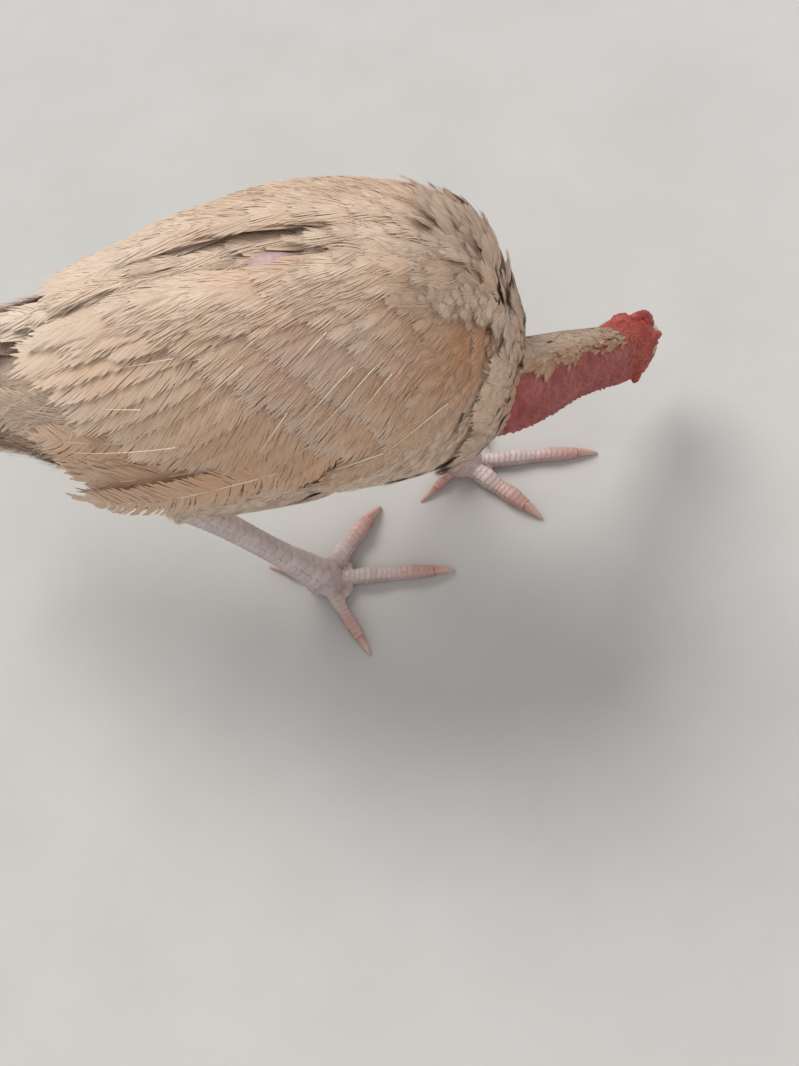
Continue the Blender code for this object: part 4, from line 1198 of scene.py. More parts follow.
def tail_tier(draw, share, begin, rise, lift, places, strays, lengths):
    """One tier over or under the tail's feathers: how they lie, and their rolls."""
    centre, axis, reach = tail_frame()
    rows = []
    for side in (1, -1):
        for across, up, roll in places:
            place = across + draw.uniform(-strays[0], strays[0])
            rows.append((side, place, up, roll, reach * share * draw.uniform(*lengths)))
    side, across, up, roll, length = np.array(rows).T
    start = np.tile(centre + axis * begin + (0, 0, rise), (len(rows), 1))
    lift = lift + draw.uniform(-strays[1], strays[1], len(rows))
    return TailLie(start, length, across, up, lift, side), roll


def make_tail(material):
    coat = Coat("coat_tail", "tail_feathers", ((-200, -60), (-60, 60)))
    draw = np.random.default_rng(SEED + 5)
    centre, axis, reach = tail_frame()
    rows = []
    for side in (1, -1):
        for k, (across, up, roll) in enumerate(tail_places(TAIL_PAIRS)):
            length = (reach - TAIL_START) * (1 - TAIL_TAPER * k) * draw.uniform(0.97, 1.0)
            rows.append((side, across, up, roll, length))
    side, across, up, roll, length = np.array(rows).T
    start = np.tile(centre + axis * TAIL_START + (0, 0, 6.0), (len(rows), 1))
    lie = TailLie(start, length, across, up, np.full(len(rows), -0.5), side)
    # the middle quills on top are paler than the outer ones at the sides: painted highlight on top and
    # painted shade at the sides
    coat.lay("flight", lie, 20.0, -roll, 0.05, columns(0.0, 0.55 - 0.05 * across / 6, 0.0))
    for kind, width, pairs, share, begin, rise, lift in TAIL_COVERTS:
        lie, roll = tail_tier(draw, share, begin, rise, lift, list(tail_places(pairs)), (1, 0.3), (0.9, 1.05))
        coat.lay(kind, lie, width, -roll, 0.12, (0.0, 0.45, 0.0))
    for share, begin, lift, inner in TAIL_DOWN:
        places = [(across * inner, up * inner, roll) for across, up, roll in list(tail_places(6)) * 3]
        lie, roll = tail_tier(draw, share, begin, 4.0, lift, places, (3, 1.2), (0.8, 1.1))
        coat.lay("fluff", lie, 15.0, -roll, 0.1, (0.0, 0.6, 0.0))
    coat.make(material, "tail")


def grid(low, high, pitch, turns, turn_pitch, draw, jitter=0.3):
    """Staggered places over a surface."""
    places = []
    for number, a in enumerate(np.arange(low, high, pitch)):
        bs = np.arange(turns[0] + (number % 2) * turn_pitch * 0.5, turns[1], turn_pitch)
        places += [(a, b) for b in bs]
    places = np.array(places, float)
    places[:, 0] += draw.uniform(-jitter, jitter, len(places)) * pitch
    places[:, 1] += draw.uniform(-jitter, jitter, len(places)) * turn_pitch
    return places[:, 0], places[:, 1]


# The wings

TIER_KEYS = ("kind", "count", "x", "turn", "bow", "heading", "curl", "length", "width", "lift", "roll")
# How far the tips of the primaries of the right and the left wing hang off the body
WING_DROOP = {1: 12.0, -1: 5.0}
WING_TIERS = {
    "primary": ("worn", 8, (68, 12), (84, 70), 0, (12, 0), (-16, -2), (150, 112), (17, 18), (-7, -4.6), 13),
    "secondary": ("flight", 14, (62, 2), (57, 21), 4, (50, 5), (-22, -4), (78, 106), (22, 21), (-6, -2.4), 9),
    "tertial": ("flight", 6, (38, 2), (19, 11), 0, (12, 1), (-4, -2), (84, 96), (19, 18), (-6.0, -1.7), 8),
    "greater": ("covert", 18, (78, 18), (60, 16), 8, (52, 8), (-14, 0), (44, 50), (16, 16), (-5.2, -1.5), 9),
    "median": ("covert", 18, (86, 34), (59, 14), 12, (54, 10), (-10, 0), (36, 42), (15, 15), (-5.0, -1.1), 9),
    "lesser": ("contour", 20, (90, 48), (60, 12), 15, (54, 12), (-8, 0), (28, 33), (14, 14), (-4.8, -0.8), 8),
    "upper": ("contour", 20, (93, 60), (60, 11), 17, (54, 12), (-8, 0), (26, 30), (13, 13), (-4.7, -0.6), 8),
    "top": ("contour", 18, (97, 72), (58, 10), 17, (54, 12), (-8, 0), (23, 27), (13, 13), (-4.6, -0.5), 8),
}


# Bare pale shafts on the right wing: root and tip, each as x and angle
QUILLS = (
    (29, 61, 12, 78),
    (55, 48, 26, 71),
    (63, 49, 29, 78),
    (69, 52, 48, 72),
    (34, 28, 9, 42),
    (88, 68, 62, 84),
    (62, 84, 34, 90),
    (-31, 54, -51, 52),
    (-19, 70, -78, 74),
    (-9, 25, -81, 20),
    (46, 36, 30, 49),
    (14, 44, -8, 56),
    (-14, 38, -40, 38),
)


def wrist_warmth(x, turn):
    """How far the orange of the wing's bend reaches."""
    return np.exp(-((x - 103) / 12) ** 2 - ((np.abs(turn) - 37) / 15) ** 2)


def wing_tint(x, turn):
    """How warm, pale and rose a wing feather is: warm at the wrist, rose where the arm is thin, and paler on
    the upper rear and warmer on the lower wing, partly their own colour and partly painted light.
    """
    # the warmer, darker lower wing is partly its own colour and partly painted shade
    warm = wrist_warmth(x, turn) + 0.32 * ease(30, 60, turn)
    rose = np.exp(-(((x - 62) / 14) ** 2 + ((turn - 31) / 9) ** 2)) * 0.36
    # the paler upper rear and top edge are partly their own cream and partly a painted highlight
    pale = 0.45 * ease(50, -60, x) * ease(75, 35, turn) + 0.2 * ease(24, 8, turn)
    return columns(warm, pale, rose)


# Rows of small feathers behind the wing's front edge: how far behind it, size and count
EDGE_ROWS = ((1.0, 13, 34), (5.0, 15, 32), (9.5, 18, 30), (15.0, 21, 28))
# Rows of shoulder feathers: angle further round than the first row, and length
SHOULDER_ROWS = ((0, 44), (7, 38))


def make_wing(name, side, material):
    coat = Coat("coat_" + name, "wing_feathers", ((-120, -100), (120, 100)))
    for number, (tier_name, values) in enumerate(WING_TIERS.items()):
        tier = dict(zip(TIER_KEYS, values))
        draw = np.random.default_rng(SEED + number * 2 + (side > 0))
        t = np.linspace(0, 1, tier["count"])
        x, turn, heading, curl, length, width = (
            tier[key][0] + (tier[key][1] - tier[key][0]) * t
            for key in ("x", "turn", "heading", "curl", "length", "width"))
        x = x + tier["bow"] * 4 * t * (1 - t) + draw.normal(0, 0.8, len(t))
        length = length * draw.uniform(0.93, 1.04, len(t))
        heading = heading + draw.normal(0, 2.0, len(t))
        lie = Lie(body, x, side * turn, heading, length, curl)
        low, high = tier["lift"]
        lie.lift(*(low + (high - low) * (1 - (1 - u) ** 2) for u in np.linspace(0, 1, STEPS + 1)))
        if tier_name == "primary":
            lie.droop(np.interp(t, (0, 1), (WING_DROOP[side], 0.25 * WING_DROOP[side])), side)
        # the left wing, on the far side, is a little paler: painted highlight
        tint = wing_tint(x, turn) + np.array((0.0, 0.12 * (side < 0), 0.0))
        coat.lay(tier["kind"], lie, width, tier["roll"] + draw.normal(0, 1.5, len(t)), 0.08, tint)
        if tier_name == "primary":
            # the lowest primary is split into strips
            lie = Lie(body, (60.0,), (side * 83.5,), 11, 146, -15).lift(-6.0, -2.0, -1.4, -2.6)
            lie.droop(WING_DROOP[side] + 1.0, side)
            coat.lay("gapped", lie, 25.0, 6.0, 0.08, wing_tint(np.array((20.0,)), np.array((70.0,))))

    # rows of small feathers behind the front edge, smallest at the edge
    draw = np.random.default_rng(SEED + 40 + side)
    for row, (back, size, count) in enumerate(EDGE_ROWS):
        turn = np.linspace(6, 92, count) + draw.normal(0, 0.8, count)
        x = spline(*zip(*WING_EDGE), turn) - back + draw.normal(0, 0.7, count)
        heading = np.interp(turn, (6, 30, 60, 92), (8, 26, 52, 40)) + draw.normal(0, 5, count)
        length = size * draw.uniform(0.9, 1.15, count)
        lie = Lie(body, x, side * turn, heading, length, 0.0)
        lie.lift(-4.0, -1.5 + 0.1 * row, -1.0 + 0.15 * row, -0.8)
        coat.lay("small" if row < 2 else "contour", lie, 0.62 * size, 0.0, 0.12, wing_tint(x, turn))
    # feathers of the shoulder that close the wing's upper edge
    t = np.linspace(0, 1, 12)
    for row, (turn_shift, length) in enumerate(SHOULDER_ROWS):
        x = 80 - 88 * t + 5 * row
        turn = 8 + 3 * t + turn_shift + 8.0 * (side > 0) * np.exp(-((x - 46) / 30) ** 2)
        lie = Lie(body, x, side * turn, 8 + draw.normal(0, 3, 12), length, -4)
        lie.lift(-5.5, -2.6, -1.2, -0.9)
        coat.lay("covert", lie, 15.0, 8.0, 0.10, wing_tint(x, turn))
    if side > 0:
        lie = Drawn(body, QUILLS, (0.15, 0.55))
        coat.lay("quill", lie, 5.2, 0.0, 0.0, (0.0, 0.8, 0.0))
    coat.make(material, name)


# Body coat

def under_wing(x, turn):
    """Where a folded wing hides the body's own feathers."""
    side = np.abs(turn)
    edge = spline(*zip(*WING_EDGE), np.clip(side, 2, 93))
    return (side > 16) & (side < 80) & (x < edge - 14) & (x > -52)


def bare_patch(x, turn):
    """The patch of bare skin in the cleft of the back."""
    return ((x - 37) / 27) ** 2 + ((turn - 7.0) / 6.5) ** 2 < 1


def body_tint(x, turn):
    side = np.abs(turn)
    # paler towards the rear: partly the back's own cream and partly a painted highlight
    pale = 0.34 + 0.20 * ease(90, 150, side) + 0.40 * ease(10, -90, x)
    warm = 0.85 * wrist_warmth(x, turn) + 0.12 * ease(80, 100, x)
    return columns(warm, pale, 0.0)


def rows_along(low, high, pitch):
    """Places along the body at equal steps over its surface."""
    x = np.linspace(low, high, 400)
    steps = [np.linalg.norm(np.diff(body(x, turn), axis=0), axis=1) for turn in (0, 90)]
    reach = np.append(0, np.cumsum(np.mean(steps, axis=0)))
    return np.interp(np.arange(0, reach[-1], pitch), reach, x)


def rows_round(surface, places, pitch):
    """Staggered places in rings round a surface, pitch apart along it and a little more round it."""
    rows = []
    for number, place in enumerate(places):
        section = surface(np.full(72, place), np.arange(72) * 5)
        around = np.linalg.norm(section - np.roll(section, 1, axis=0), axis=1).sum()
        count = max(5, int(around / (pitch * 1.3)))
        turns = (np.arange(count) + 0.5 * (number % 2)) * 360 / count - 180
        rows.append(np.stack((np.full(count, place), turns)))
    return np.concatenate(rows, axis=1)


# Pieces of the body's coat: from x, to x, and the pitch of the feathers
COAT_BANDS = {
    "breast": (58.0, 128.0, 4.5),
    "back_and_flanks": (-30.0, 58.0, 5.6),
    "rump_and_vent": (-113.0, -30.0, 5.8),
}
# How far from the middle of the neck's root the collar takes over from the breast
COLLAR_REACH = 35


def make_body(material):
    draw = np.random.default_rng(SEED + 60)
    window = ((-160, -180), (125, 180))
    coats = {name: Coat("coat_" + name, "body_feathers", window) for name in COAT_BANDS}
    throat_centre = throat_surface().centre
    for name, (low, high, pitch) in COAT_BANDS.items():
        x, turn = rows_round(body, rows_along(low, high, pitch), pitch)
        x = x + draw.uniform(-0.3, 0.3, len(x)) * pitch * ease(112, 100, x)
        turn = turn + draw.uniform(-1.5, 1.5, len(x))
        collar = np.linalg.norm(body(x, turn) - throat_centre, axis=1) < COLLAR_REACH
        keep = ~(under_wing(x, turn) | bare_patch(x, turn) | collar)
        x, turn = x[keep], turn[keep]
        side = np.abs(turn)
        edge = spline(*zip(*WING_EDGE), np.clip(side, 2, 93))
        over = ease(edge - 14, edge - 3, x) * ease(112, 96, side)
        full = 0.42 * ease(-45, -80, x) * ease(40, 60, side)
        heading = np.interp(side, (0, 20, 90, 150, 180), (4, 12, 22, 10, 0)) + draw.normal(0, 6, len(x))
        heading = heading + 16 * over * ease(25, 50, side)
        length = np.interp(x, (-110, -40, 60, 100, 112, 126), (32, 29, 27, 21, 17, 13))
        length = length * draw.uniform(0.85, 1.15, len(x))
        length *= 1 - 0.25 * over * ease(30, 45, side)
        lie = Lie(body, x, turn, heading, length, draw.normal(0, 8, len(x))).sink(1 - 0.92 * over - full)
        lie.lift(-COAT_DEPTH - 0.5 + 2.0 * over, -2.0, -0.9, -0.4)
        coats[name].lay("contour", lie, length * 0.52, draw.normal(0, 5, len(x)), 0.14, body_tint(x, turn))
    make_mantle(coats["breast"], draw)
    coats["saddle"] = Coat("coat_saddle", "body_feathers", window)
    make_saddle(coats["saddle"], draw)
    for coat in coats.values():
        coat.make(material)


def make_mantle(coat, draw):
    """The edge of the mantle hangs over each wrist, and a few tips stand up over the shoulders."""
    for side in (1, -1):
        t = np.linspace(0, 1, 15)
        for row in (0, 1):
            x = 93 + 18 * t - 3 * row + draw.normal(0, 1.0, 15)
            turn = 17 - 4 * t - 4 * row + draw.normal(0, 0.8, 15)
            lie = Lie(body, x, side * turn, 46 + draw.normal(0, 7, 15), 18 + draw.normal(0, 1.5, 15), -6)
            lie.lift(-3.5, 0.0, 1.3, 2.0)
            coat.lay("contour", lie, 9.5, 0, 0.14, body_tint(x, side * turn))
    count = 44
    x, turn = draw.uniform(84, 108, count), draw.uniform(-62, 30, count)
    heading, length = draw.normal(12, 16, count), draw.uniform(14, 22, count)
    lie = Lie(body, x, turn, heading, length, draw.normal(0, 25, count)).lift(-3.0, 0.3, 1.2, 2.4)
    coat.lay("contour", lie, 8.0, draw.normal(0, 14, count), 0.14, body_tint(x, turn))


def make_saddle(saddle, draw):
    """Long narrow feathers over the tail's root, thin ones over the bare patch, and fluff behind."""
    count = 260
    x = draw.uniform(-104, -6, count)
    turn = draw.normal(0, 19, count) * (1 + 0.7 * ease(-50, -100, x))
    heading = 9 + 0.45 * np.abs(turn) + draw.normal(0, 5, count)
    length = draw.uniform(44, 68, count) * (1 - 0.25 * ease(-60, -104, x))
    lie = Lie(body, x, turn, heading, length, draw.normal(6, 8, count))
    lie.sink(0.62 + 0.2 * ease(-60, -104, x)).lift(-3.5, 0.0, 0.6, 0.2)
    # the saddle's pale share is partly its own cream and partly a painted highlight
    saddle.lay("saddle", lie, 9.0, draw.normal(0, 8, count), 0.1, (0.05, 0.45, 0.0))
    # thin feathers over the bare patch
    count = 9
    lie = Lie(body, draw.uniform(14, 62, count), draw.uniform(0, 13, count), 6 + draw.normal(0, 9, count),
              draw.uniform(20, 34, count), draw.normal(0, 9, count))
    lie.sink(0.9).lift(-1.5, 0.2, 0.8, 0.2)
    saddle.lay("saddle", lie, 4.5, draw.normal(0, 8, count), 0.1, (0.0, 0.35, 0.0))
    # soft feathers that fill the hollow between the wing tips and the tail
    count = 110
    for side in (1, -1):
        x = draw.uniform(-112, -58, count)
        turn = side * draw.uniform(45, 110, count)
        heading, length = draw.normal(14, 12, count), draw.uniform(28, 40, count)
        lie = Lie(body, x, turn, heading, length, draw.normal(0, 10, count))
        lie.sink(0.34).lift(-4.0, -0.5, 0.8, 1.0)
        saddle.lay("fluff", lie, 15.0, draw.normal(0, 10, count), 0.1, (0.0, 0.45, 0.0))
    # loose fluff at the vent
    a, b = grid(-112, -62, 8, (112, 248), 10, draw)
    lie = Lie(body, a, b - 360 * (b > 180), draw.normal(8, 8, len(a)), draw.uniform(24, 32, len(a)), 10.0)
    saddle.lay("fluff", lie.sink().lift(-5, -1, 0.2, 1.0), 15.0, 0, 0.1, (0.0, 0.7, 0.0))


def make_thighs(material):
    draw = np.random.default_rng(SEED + 80)
    for name in LEGS:
        surface = thigh_surface(name)
        coat = Coat("coat_thigh_" + name, "body_feathers", ((0, 0), (surface.reach, 360)))
        a, b = grid(2, surface.reach - 2, 6.0, (0, 360), 20, draw)
        size = np.interp(a, (0, 25, 80), (12, 18, 26)) * draw.uniform(0.8, 1.2, len(a))
        lie = Lie(surface, a, b, draw.normal(0, 8, len(a)), size, 0.0, 1)
        close = ease(34, 6, a)
        lie.lift(-COAT_DEPTH + 1.0 * close, -1.6 - 0.8 * close, -0.8 - 1.4 * close, -0.5 - 2.2 * close)
        coat.lay("contour", lie, size * 0.5, 0, 0.14, (0.0, 0.35, 0.0))
        # down round the hock
        count = 150
        a, b = draw.uniform(1, 22, count), draw.uniform(0, 360, count)
        heading, length = draw.normal(0, 12, count), draw.uniform(8, 15, count)
        lie = Lie(surface, a, b, heading, length, draw.normal(0, 10, count), 1)
        coat.lay("fluff", lie.lift(-3.2, -2.2, -2.0, -3.2), 5.5, 0, 0.1, (0.0, 0.85, 0.0))
        coat.make(material)


# Bristles behind the comb and over the ears: sides, range along the head and round it, and count
BRISTLES = (((1,), (-23, -6), (-72, 72), 260), ((1, -1), (-15, -6), (66, 110), 50))


def make_neck_feathers(material):
    """A collar where the bare neck leaves the breast, a strip of hackles on the nape, and a few bristles."""
    draw = np.random.default_rng(SEED + 90)
    surface = neck_surface()
    throat = throat_surface()
    coat = Coat("coat_neck", "body_feathers", ((-60, -180), (surface.reach + 10, 180)))
    a, b = rows_round(throat, np.arange(COLLAR[0], COLLAR[1], 3.4), 3.6)
    a = a + draw.uniform(-1.2, 1.2, len(a))
    b = b + draw.uniform(-2.5, 2.5, len(a))
    size = np.interp(a, COLLAR, (21, 10)) * draw.uniform(0.85, 1.15, len(a))
    lie = Lie(throat, a, b, draw.normal(0, 7, len(a)), size, draw.normal(0, 8, len(a)), 1)
    tint = columns(0.10 + 0.45 * ease(-6, 4, a), 0.12, 0.0)
    coat.lay("contour", lie.lift(-1.8, -0.3, 0.2, 0.1), size * 0.58, draw.normal(0, 3, len(a)), 0.14, tint)
    # hackles along the nape: pale on top and orange at the strip's lower rim
    count = 6200
    a = draw.uniform(24, surface.reach + 6, count)
    b = draw.uniform(-180, 180, count)
    facing = (frame_on(surface, a, b)[2] * NAPE).sum(axis=1)
    keep = (draw.random(count) < 0.66 * ease(0.60, 0.88, facing)) & (a > throat.leave(b) - 3)
    a, b, facing = a[keep], b[keep], facing[keep]
    size = np.interp(a, (30, surface.reach), (17, 9)) * draw.uniform(0.8, 1.15, len(a))
    lie = Lie(surface, a, b, draw.normal(0, 9, len(a)), size, draw.normal(0, 10, len(a)), 1)
    tint = columns(0.95 * ease(0.93, 0.74, facing), 0.30 * ease(0.7, 0.95, facing), 0.0)
    coat.lay("hackle", lie.lift(-0.8, 0.3, 0.8, 0.6), size * 0.18, draw.normal(0, 6, len(a)), 0.1, tint)
    # fine hairs on the bare skin
    count = 420
    a = draw.uniform(30, surface.reach + 8, count)
    b = draw.uniform(-180, 180, count)
    keep = a > throat.leave(b)
    a, b = a[keep], b[keep]
    lie = Lie(surface, a, b, draw.normal(0, 14, len(a)), draw.uniform(3.5, 7.0, len(a)), 0.0, 1)
    coat.lay("hair", lie.lift(-0.5, 0.3, 0.8), 0.45, 0, 0.1, (1.0, 0.0, 0.0))
    # bristles behind the comb and over the ears
    for sides, along, around, count in BRISTLES:
        for side in sides:
            a = draw.uniform(*along, count)
            b = side * draw.uniform(*around, count)
            lie = Lie(head_surface, a, b, draw.normal(0, 14, count), draw.uniform(3.5, 7.0, count), 0.0, 1)
            coat.lay("hair", lie.lift(-0.8, 0.4, 1.0), 0.45, 0, 0.1, (1.0, 0.0, 0.0))
    coat.make(material)


def head_surface(a, b):
    """The head's outline: a runs along it towards the beak and b round it from the crown."""
    a, b = np.broadcast_arrays(np.asarray(a, float), np.asarray(b, float))
    right, up, ahead = head_axes()
    half, above, below = np.moveaxis(spline(*head_table(), a), -1, 0)
    c, s = np.cos(np.radians(b)), np.sin(np.radians(b))
    tall = np.where(c > 0, above, below) * c
    return HEAD_CENTRE + a[..., None] * ahead + tall[..., None] * up + (half * s)[..., None] * right


# Head pieces

def make_beak():
    right, up, _ = head_axes()
    material = horn_paint("beak", (0.70, 0.57, 0.40), (0.38, 0.25, 0.145))
    angle = np.arange(64) * math.tau / 64
    for node, table in (("beak_upper", BEAK_UPPER), ("beak_lower", BEAK_LOWER)):
        table = np.array(table)
        places = np.linspace(table[0, 0], table[-1, 0], 56)
        rows = spline(table[:, 0], table[:, 1:], places)
        rings = []
        for t, (half, high, low) in zip(places, rows):
            tall = 0.5 * (high - low)
            keel = 1 - BEAK_KEEL * np.maximum(0, np.sin(angle) * (1 if node == "beak_upper" else -1)) ** 1.5
            points = (on_head(t, 0.5 * (high + low), 0) + np.outer(half * np.cos(angle) * keel, right)
                      + np.outer(tall * np.sin(angle), up))
            local = (points - on_head(t, 0, 0)) @ np.stack((right, up), axis=1)
            if node == "beak_upper":
                # the cutting edge stands out over the lower half, and the nostril is a slit under a lid
                lip = np.exp(-((local[:, 1] - low - 1.0) / 0.7) ** 2) * ease(table[-1, 0], 20, t)
                points = points + np.outer(0.35 * lip * np.sign(local[:, 0]), right)
                pit = np.exp(-(((t - 19.5) / 1.8) ** 2 + ((local[:, 1] - 3.4) / 0.8) ** 2))
                lid = np.exp(-(((t - 19.5) / 2.8) ** 2 + ((local[:, 1] - 5.2) / 1.0) ** 2))
                push = (-1.5 * pit + 0.5 * lid) * np.sign(local[:, 0])
                points = points + np.outer(push, right)
            rings.append(points)
        obj = put(node + "_horn", *loft(rings))
        horn_zones(obj, len(places), len(angle))
        obj.data.materials.append(material)
        place_piece(obj, "horn", node)


def horn_zones(obj, rows, sides):
    """How far each point of a lofted horn is along it and round it."""
    along = np.append(np.repeat(np.linspace(0, 1, rows), sides), (0, 1))
    around = np.append(np.tile(1 - np.abs(np.linspace(-1, 1, sides, endpoint=False)), rows), (0, 0))
    skin_zones(obj, columns(along, around, 0.0))


def make_comb():
    """A pea comb: three low rows of beads, the middle one highest."""
    shapes = [lump(COMB_BASE)]
    draw = np.random.default_rng(SEED + 3)
    first, last = COMB_SPAN
    for aside, height, radius, count in COMB_ROWS:
        for k in range(count):
            t = first + (last - first) * (k + 0.5) / count
            drop = COMB_DROP * max(0.0, t - 2.0) ** 2
            r = radius * draw.uniform(0.88, 1.05)
            place = (t, height - drop + 0.4, aside + draw.uniform(-0.3, 0.3))
            shapes.append(lump((place, (r * 0.92, r * 1.3, r * 0.92)), 1, 14, 24))
    obj = skin_over("comb_beads", shapes, 0.36, 1)
    points, normals = points_of(obj)
    set_points(obj, points + normals * (0.12 * wave_noise(points, 1.8, 4, 2))[:, None])
    obj.data.materials.append(comb_paint())
    place_piece(obj, "red_skin", "comb")


def make_eyes():
    material = eye_paint()
    for side, name in ((1, "eye_right"), (-1, "eye_left")):
        middle, _, _, gaze = eye_place(side)
        mesh = bpy.data.meshes.new(name + "_ball")
        work = bmesh.new()
        bmesh.ops.create_uvsphere(work, u_segments=48, v_segments=32, radius=EYE_RADIUS * MM)
        for vertex in work.verts:
            # the cornea bulges a little over the iris
            out = ease(0.62, 0.95, vertex.co.z / (EYE_RADIUS * MM))
            vertex.co *= 1 + 0.05 * float(out)
        work.to_mesh(mesh)
        work.free()
        mesh.shade_smooth()
        obj = add_object(name + "_ball", mesh)
        centre = (middle - ORIGIN) * MM
        turn = Vector((0, 0, 1)).rotation_difference(Vector(gaze))
        obj.matrix_world = Matrix.Translation(centre) @ turn.to_matrix().to_4x4()
        obj.data.materials.append(material)
        place_piece(obj, "eye", name)


# Legs

def toe_line(pad_at, angle, length, bend, places):
    """Points on the floor along a toe, and the last heading."""
    turn = math.radians(bend) / length
    start = math.radians(angle)
    along = length * np.asarray(places)
    mean = start + 0.5 * turn * along
    points = pad_at[:2] + along[:, None] * np.stack((np.cos(mean), np.sin(mean)), axis=1)
    last = start + turn * along[-1]
    return points, np.array((math.cos(last), math.sin(last), 0.0))


def plates(path, radii, up, count, spread, offset, lift, draw, tall=1.0):
    """Overlapping plates along a tube, curved round it and raised at their far ends: points, faces, tones."""
    shapes = []
    e = np.linspace(-1, 1, 9)
    for k in range(count):
        tone, wobble = draw.uniform(0, 1), draw.uniform(-2, 2)
        rings, rims = [], []
        for u in (0.0, 0.3, 0.65, 0.9, 1.0):
            t = np.clip((k + 1.2 * u * (1 - 0.22 * e ** 2)) / count, 0, 1)
            near = np.clip(t, 0.01, 0.99)
            ahead = unit(path_at(path, near + 0.01) - path_at(path, near - 0.01))
            side = unit(np.cross(ahead, up))
            rise = np.cross(side, ahead)
            angle = np.radians(spread * e * (0.88 + 0.12 * math.sin(math.pi * u)) + offset + wobble)
            way = np.sin(angle)[:, None] * side + tall * np.cos(angle)[:, None] * rise
            r = path_at(np.array(radii)[:, None], t)[:, 0]
            flat = min(1.0, 0.25 + 0.25 * (count - 1 - k))
            out = r + flat * lift * (0.05 + 0.95 * u) * np.cos(1.5 * e) ** 0.4 * (1 - 0.35 * (u == 1.0))
            middle = path_at(path, t)
            rings.append(np.vstack((middle + way * out[:, None], (middle + way * (r - 0.6)[:, None])[::-1])))
            rims += [u ** 6] * 18
        points, faces = loft(rings)
        shapes.append((points, faces, columns(np.append(rims, (0, 1)), tone)))
    return shapes


# Rows of plates on the shank, broad in front and behind and small at the sides: angle from the front, count,
# width, lift, and 1 if the row starts half a plate later
SHANK_PLATES = (
    (25, 17, 30, 0.85, 0),
    (-25, 17, 30, 0.85, 1),
    (74, 25, 21, 0.6, 1),
    (-74, 25, 21, 0.6, 0),
    (112, 25, 21, 0.6, 0),
    (-112, 25, 21, 0.6, 1),
    (155, 21, 25, 0.7, 0),
    (-155, 21, 25, 0.7, 1),
)
# Length of a toe that one plate covers
TOE_PLATE = 2.7


def make_legs():
    raised, small = scute_paint("scutes", True), scute_paint("leg_skin", False)
    claw_material = horn_paint("claws", (0.62, 0.42, 0.35), (0.50, 0.26, 0.21))
    for name, leg in LEGS.items():
        draw = np.random.default_rng(SEED + 20 + len(name))
        pad_at, hock = np.array(leg["pad"]), np.array(leg["hock"])
        shapes = [ball(pad_at, PAD_RADII, floor=0.0)]
        t = np.linspace(0, 1, 24)
        radii = path_at(np.array(SHANK_RADII)[:, None], t)[:, 0] * 0.985
        shank = path_at((pad_at, hock), t)
        end = hock + unit(hock - pad_at) * 6.0
        shapes.append(pipe(shank, radii, radii * 1.03, radii, 20, (1.0, 0.0, 0.0), end=end))
        scutes = []
        base = np.array(SHANK_RADII[::-1]) * 0.99
        for offset, count, spread, lift, late in SHANK_PLATES:
            line = (hock, pad_at + (hock - pad_at) * (0.035 + 0.5 / count * late))
            scutes += plates(line, base, (1.0, 0.0, 0.0), count, spread, offset, lift, draw)
        tips = []
        ways = []
        for toe_name, (angle, length, bend), (half, tall) in zip(TOE_NAMES, leg["toes"], TOE_RADII):
            places = np.linspace(0, 1, 20)
            points, way = toe_line(pad_at, angle, length - CLAW_LENGTH, bend, places)
            shrink = 1 - TOE_NARROWS * places + 1.4 * TOE_SWELL * np.cos(places * math.tau * 2.5)
            path = np.column_stack((points, tall * shrink * 0.92))
            tip = np.array((*points[-1], tall * 0.62)) + way * 1.4
            shapes.append(pipe(path, half * shrink, tall * shrink, tall * shrink, 16, floor=0.0, end=tip))
            skip = 0.08 if toe_name != "hind" else 0.26
            start = int(skip * 19)
            mean = 0.5 * (half + tall) * shrink
            count = int((length - CLAW_LENGTH) * (1 - skip) / TOE_PLATE)
            scutes += plates(path[start:], mean[start:] * 1.03, (0.0, 0.0, 1.0), count, 52, 0, 0.42, draw,
                             tall / mean[0])
            tips.append(tip)
            ways.append(math.radians(angle))
            claw_end = np.array((*points[-1], tall * 0.66)) + way * 0.4
            make_claw(f"claw_{toe_name}_{name}", claw_end, way, half * 0.58, claw_material)
        # small webs between the front toes
        for first, second in ((0, 1), (1, 2)):
            middle = 0.5 * (ways[first] + ways[second])
            way = np.array((math.cos(middle), math.sin(middle), 0.0))
            place = pad_at + 11.0 * way
            place[2] = 4.0
            axes = np.array(((-way[1], way[0], 0), (0, 0, 1), way))
            shapes.append(ball(place, (7.5, 2.2, 6.5), axes, floor=0.6))
        nodes = [f"{part}_{name}" for part in ("shank", "foot", "toe_2", "toe_3", "toe_4", "toe_hind")]
        skin = skin_over("leg_" + name, shapes, 0.75, 3)
        points, normals = points_of(skin)
        creases = 0.22 * wave_noise(points, 3.0, 12, 2)
        points = points + normals * creases[:, None]
        points[:, 2] = np.maximum(points[:, 2], 0.0)
        set_points(skin, points)
        tint_leg(skin, points, tips)
        skin.data.materials.append(small)
        place_piece(skin, "leg_scutes", *nodes)
        points, faces = join([shape[:2] for shape in scutes])
        points[:, 2] = np.maximum(points[:, 2], 0.0)
        obj = put("scutes_" + name, points, faces)
        tint_leg(obj, points, tips, np.vstack([shape[2] for shape in scutes]))
        obj.data.set_sharp_from_angle(angle=math.radians(50))
        obj.data.materials.append(raised)
        place_piece(obj, "leg_scutes")


def tint_leg(obj, points, tips, plates_of=None):
    """Redder towards the tips of the toes, darker on the sole and round each plate's rim."""
    away = np.min([np.linalg.norm(points - tip, axis=1) for tip in tips], axis=0)
    red = 0.70 * ease(34, 2, away) + 0.15 * np.clip(wave_noise(points, 14, 6), 0, 1)
    dark = 0.5 * ease(2.0, 0.0, points[:, 2])
    tone = 0.5
    if plates_of is not None:
        dark = np.maximum(dark, 0.38 * plates_of[:, 0])
        tone = plates_of[:, 1]
    skin_zones(obj, columns(red, dark, tone))


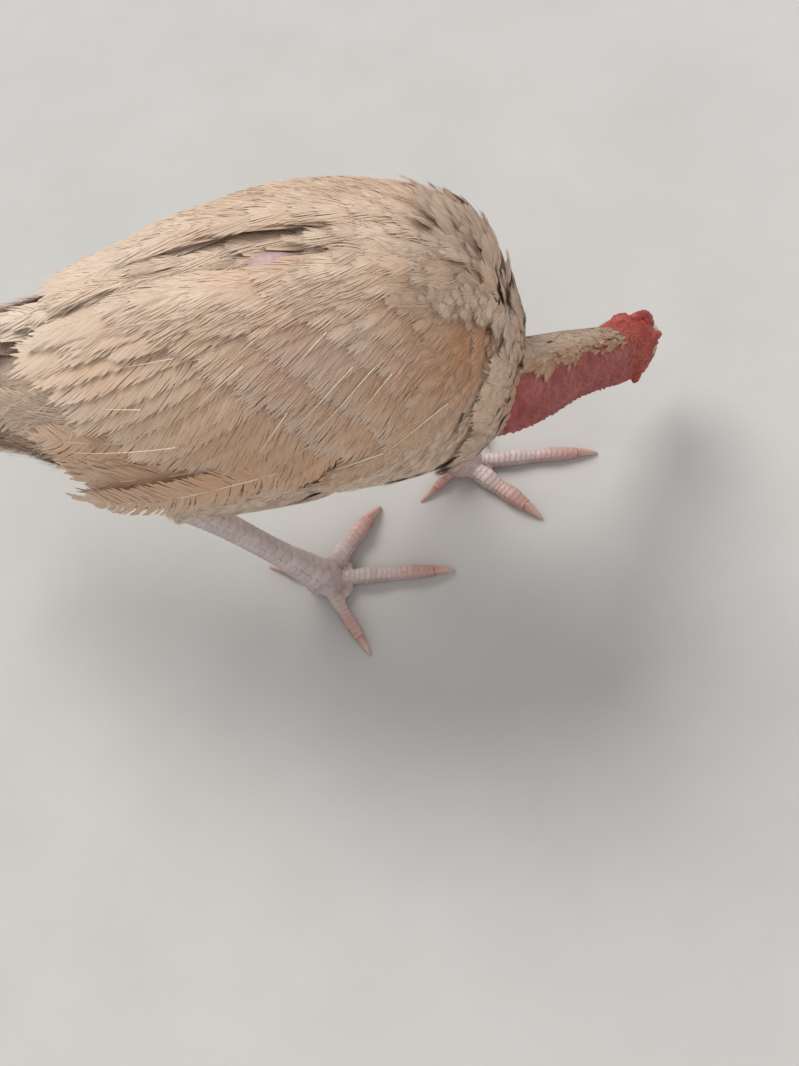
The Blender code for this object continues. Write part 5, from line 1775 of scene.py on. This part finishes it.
def make_claw(name, end, way, size, material):
    """A claw that bends down until its tip rests on the floor."""
    drop = end[2]
    t = np.linspace(0, 0.92, 14)
    path = end + np.outer(t * CLAW_LENGTH, way)
    path[:, 2] -= drop * (0.9 * t ** 1.7)
    sizes = size * (1 - 0.75 * t ** 1.5)
    tip = end + way * CLAW_LENGTH
    tip[2] = 0.3
    obj = put(name + "_horn", *pipe(path, sizes * 0.8, sizes * 1.1, sizes * 1.1, 20, floor=0.02, end=tip))
    horn_zones(obj, 14, 20)
    obj.data.materials.append(material)
    place_piece(obj, "claw", name)


# Light, floor and camera

def make_floor():
    reach = 40.0
    mesh = bpy.data.meshes.new("floor")
    corners = [(-reach, -reach, 0), (reach, -reach, 0), (reach, reach, 0), (-reach, reach, 0)]
    mesh.from_pydata(corners, [], [(0, 1, 2, 3)])
    floor = add_object("floor", mesh)
    paint = Paint("floor", 0.85)
    cloud = paint.scale(paint.noise(12.0, 5.0), 0.3, 0.7)
    mesh.materials.append(paint.finish(paint.mix((0.50, 0.49, 0.47), (0.54, 0.53, 0.51), cloud)))


# Soft lights: name, direction, power, softness in degrees, colour
LIGHTS = (
    ("key", (-0.80, 0.70, 1.25), 2.3, 36, (1.0, 0.975, 0.94)),
    ("fill", (0.7, -1.0, 0.9), 0.35, 60, (0.96, 0.98, 1.0)),
)


def make_lights():
    world = bpy.data.worlds.new("studio")
    bpy.context.scene.world = world
    world.use_nodes = True
    back = world.node_tree.nodes["Background"]
    back.inputs["Color"].default_value = (0.97, 0.98, 1.0, 1.0)
    back.inputs["Strength"].default_value = 0.60
    for name, place, power, spread, colour in LIGHTS:
        light = bpy.data.lights.new(name, "SUN")
        light.angle = math.radians(spread)
        light.energy = power
        light.color = colour
        lamp = add_object(name, light)
        lamp.location = place
        lamp.rotation_euler = Vector(place).to_track_quat("Z", "Y").to_euler()


def make_camera():
    camera = bpy.data.cameras.new("camera")
    camera.sensor_width = SENSOR
    camera.sensor_fit = "VERTICAL"
    camera.sensor_height = SENSOR
    camera.lens = FOCAL
    eye = add_object("camera", camera)
    eye.location = (np.array(CAMERA_AT) - ORIGIN) * MM
    eye.rotation_euler = [math.radians(a) for a in CAMERA_TURN]
    bpy.context.scene.camera = eye
    bpy.context.scene.view_settings.view_transform = "Standard"


make_floor()
make_lights()
make_camera()
body_feathers = feather_paint("body_feathers", BUFF, PALE)
wing_feathers = feather_paint("wing_feathers", BUFF, PALE)
# the tail's colours are paler than the body's: partly its own cream and partly a painted highlight
tail_feathers = feather_paint("tail_feathers", (0.62, 0.435, 0.295), (0.80, 0.68, 0.53))
make_skin()
make_wing("wing_right", 1, wing_feathers)
make_wing("wing_left", -1, wing_feathers)
make_body(body_feathers)
make_thighs(body_feathers)
make_neck_feathers(body_feathers)
make_tail(tail_feathers)
make_beak()
make_comb()
make_eyes()
make_legs()
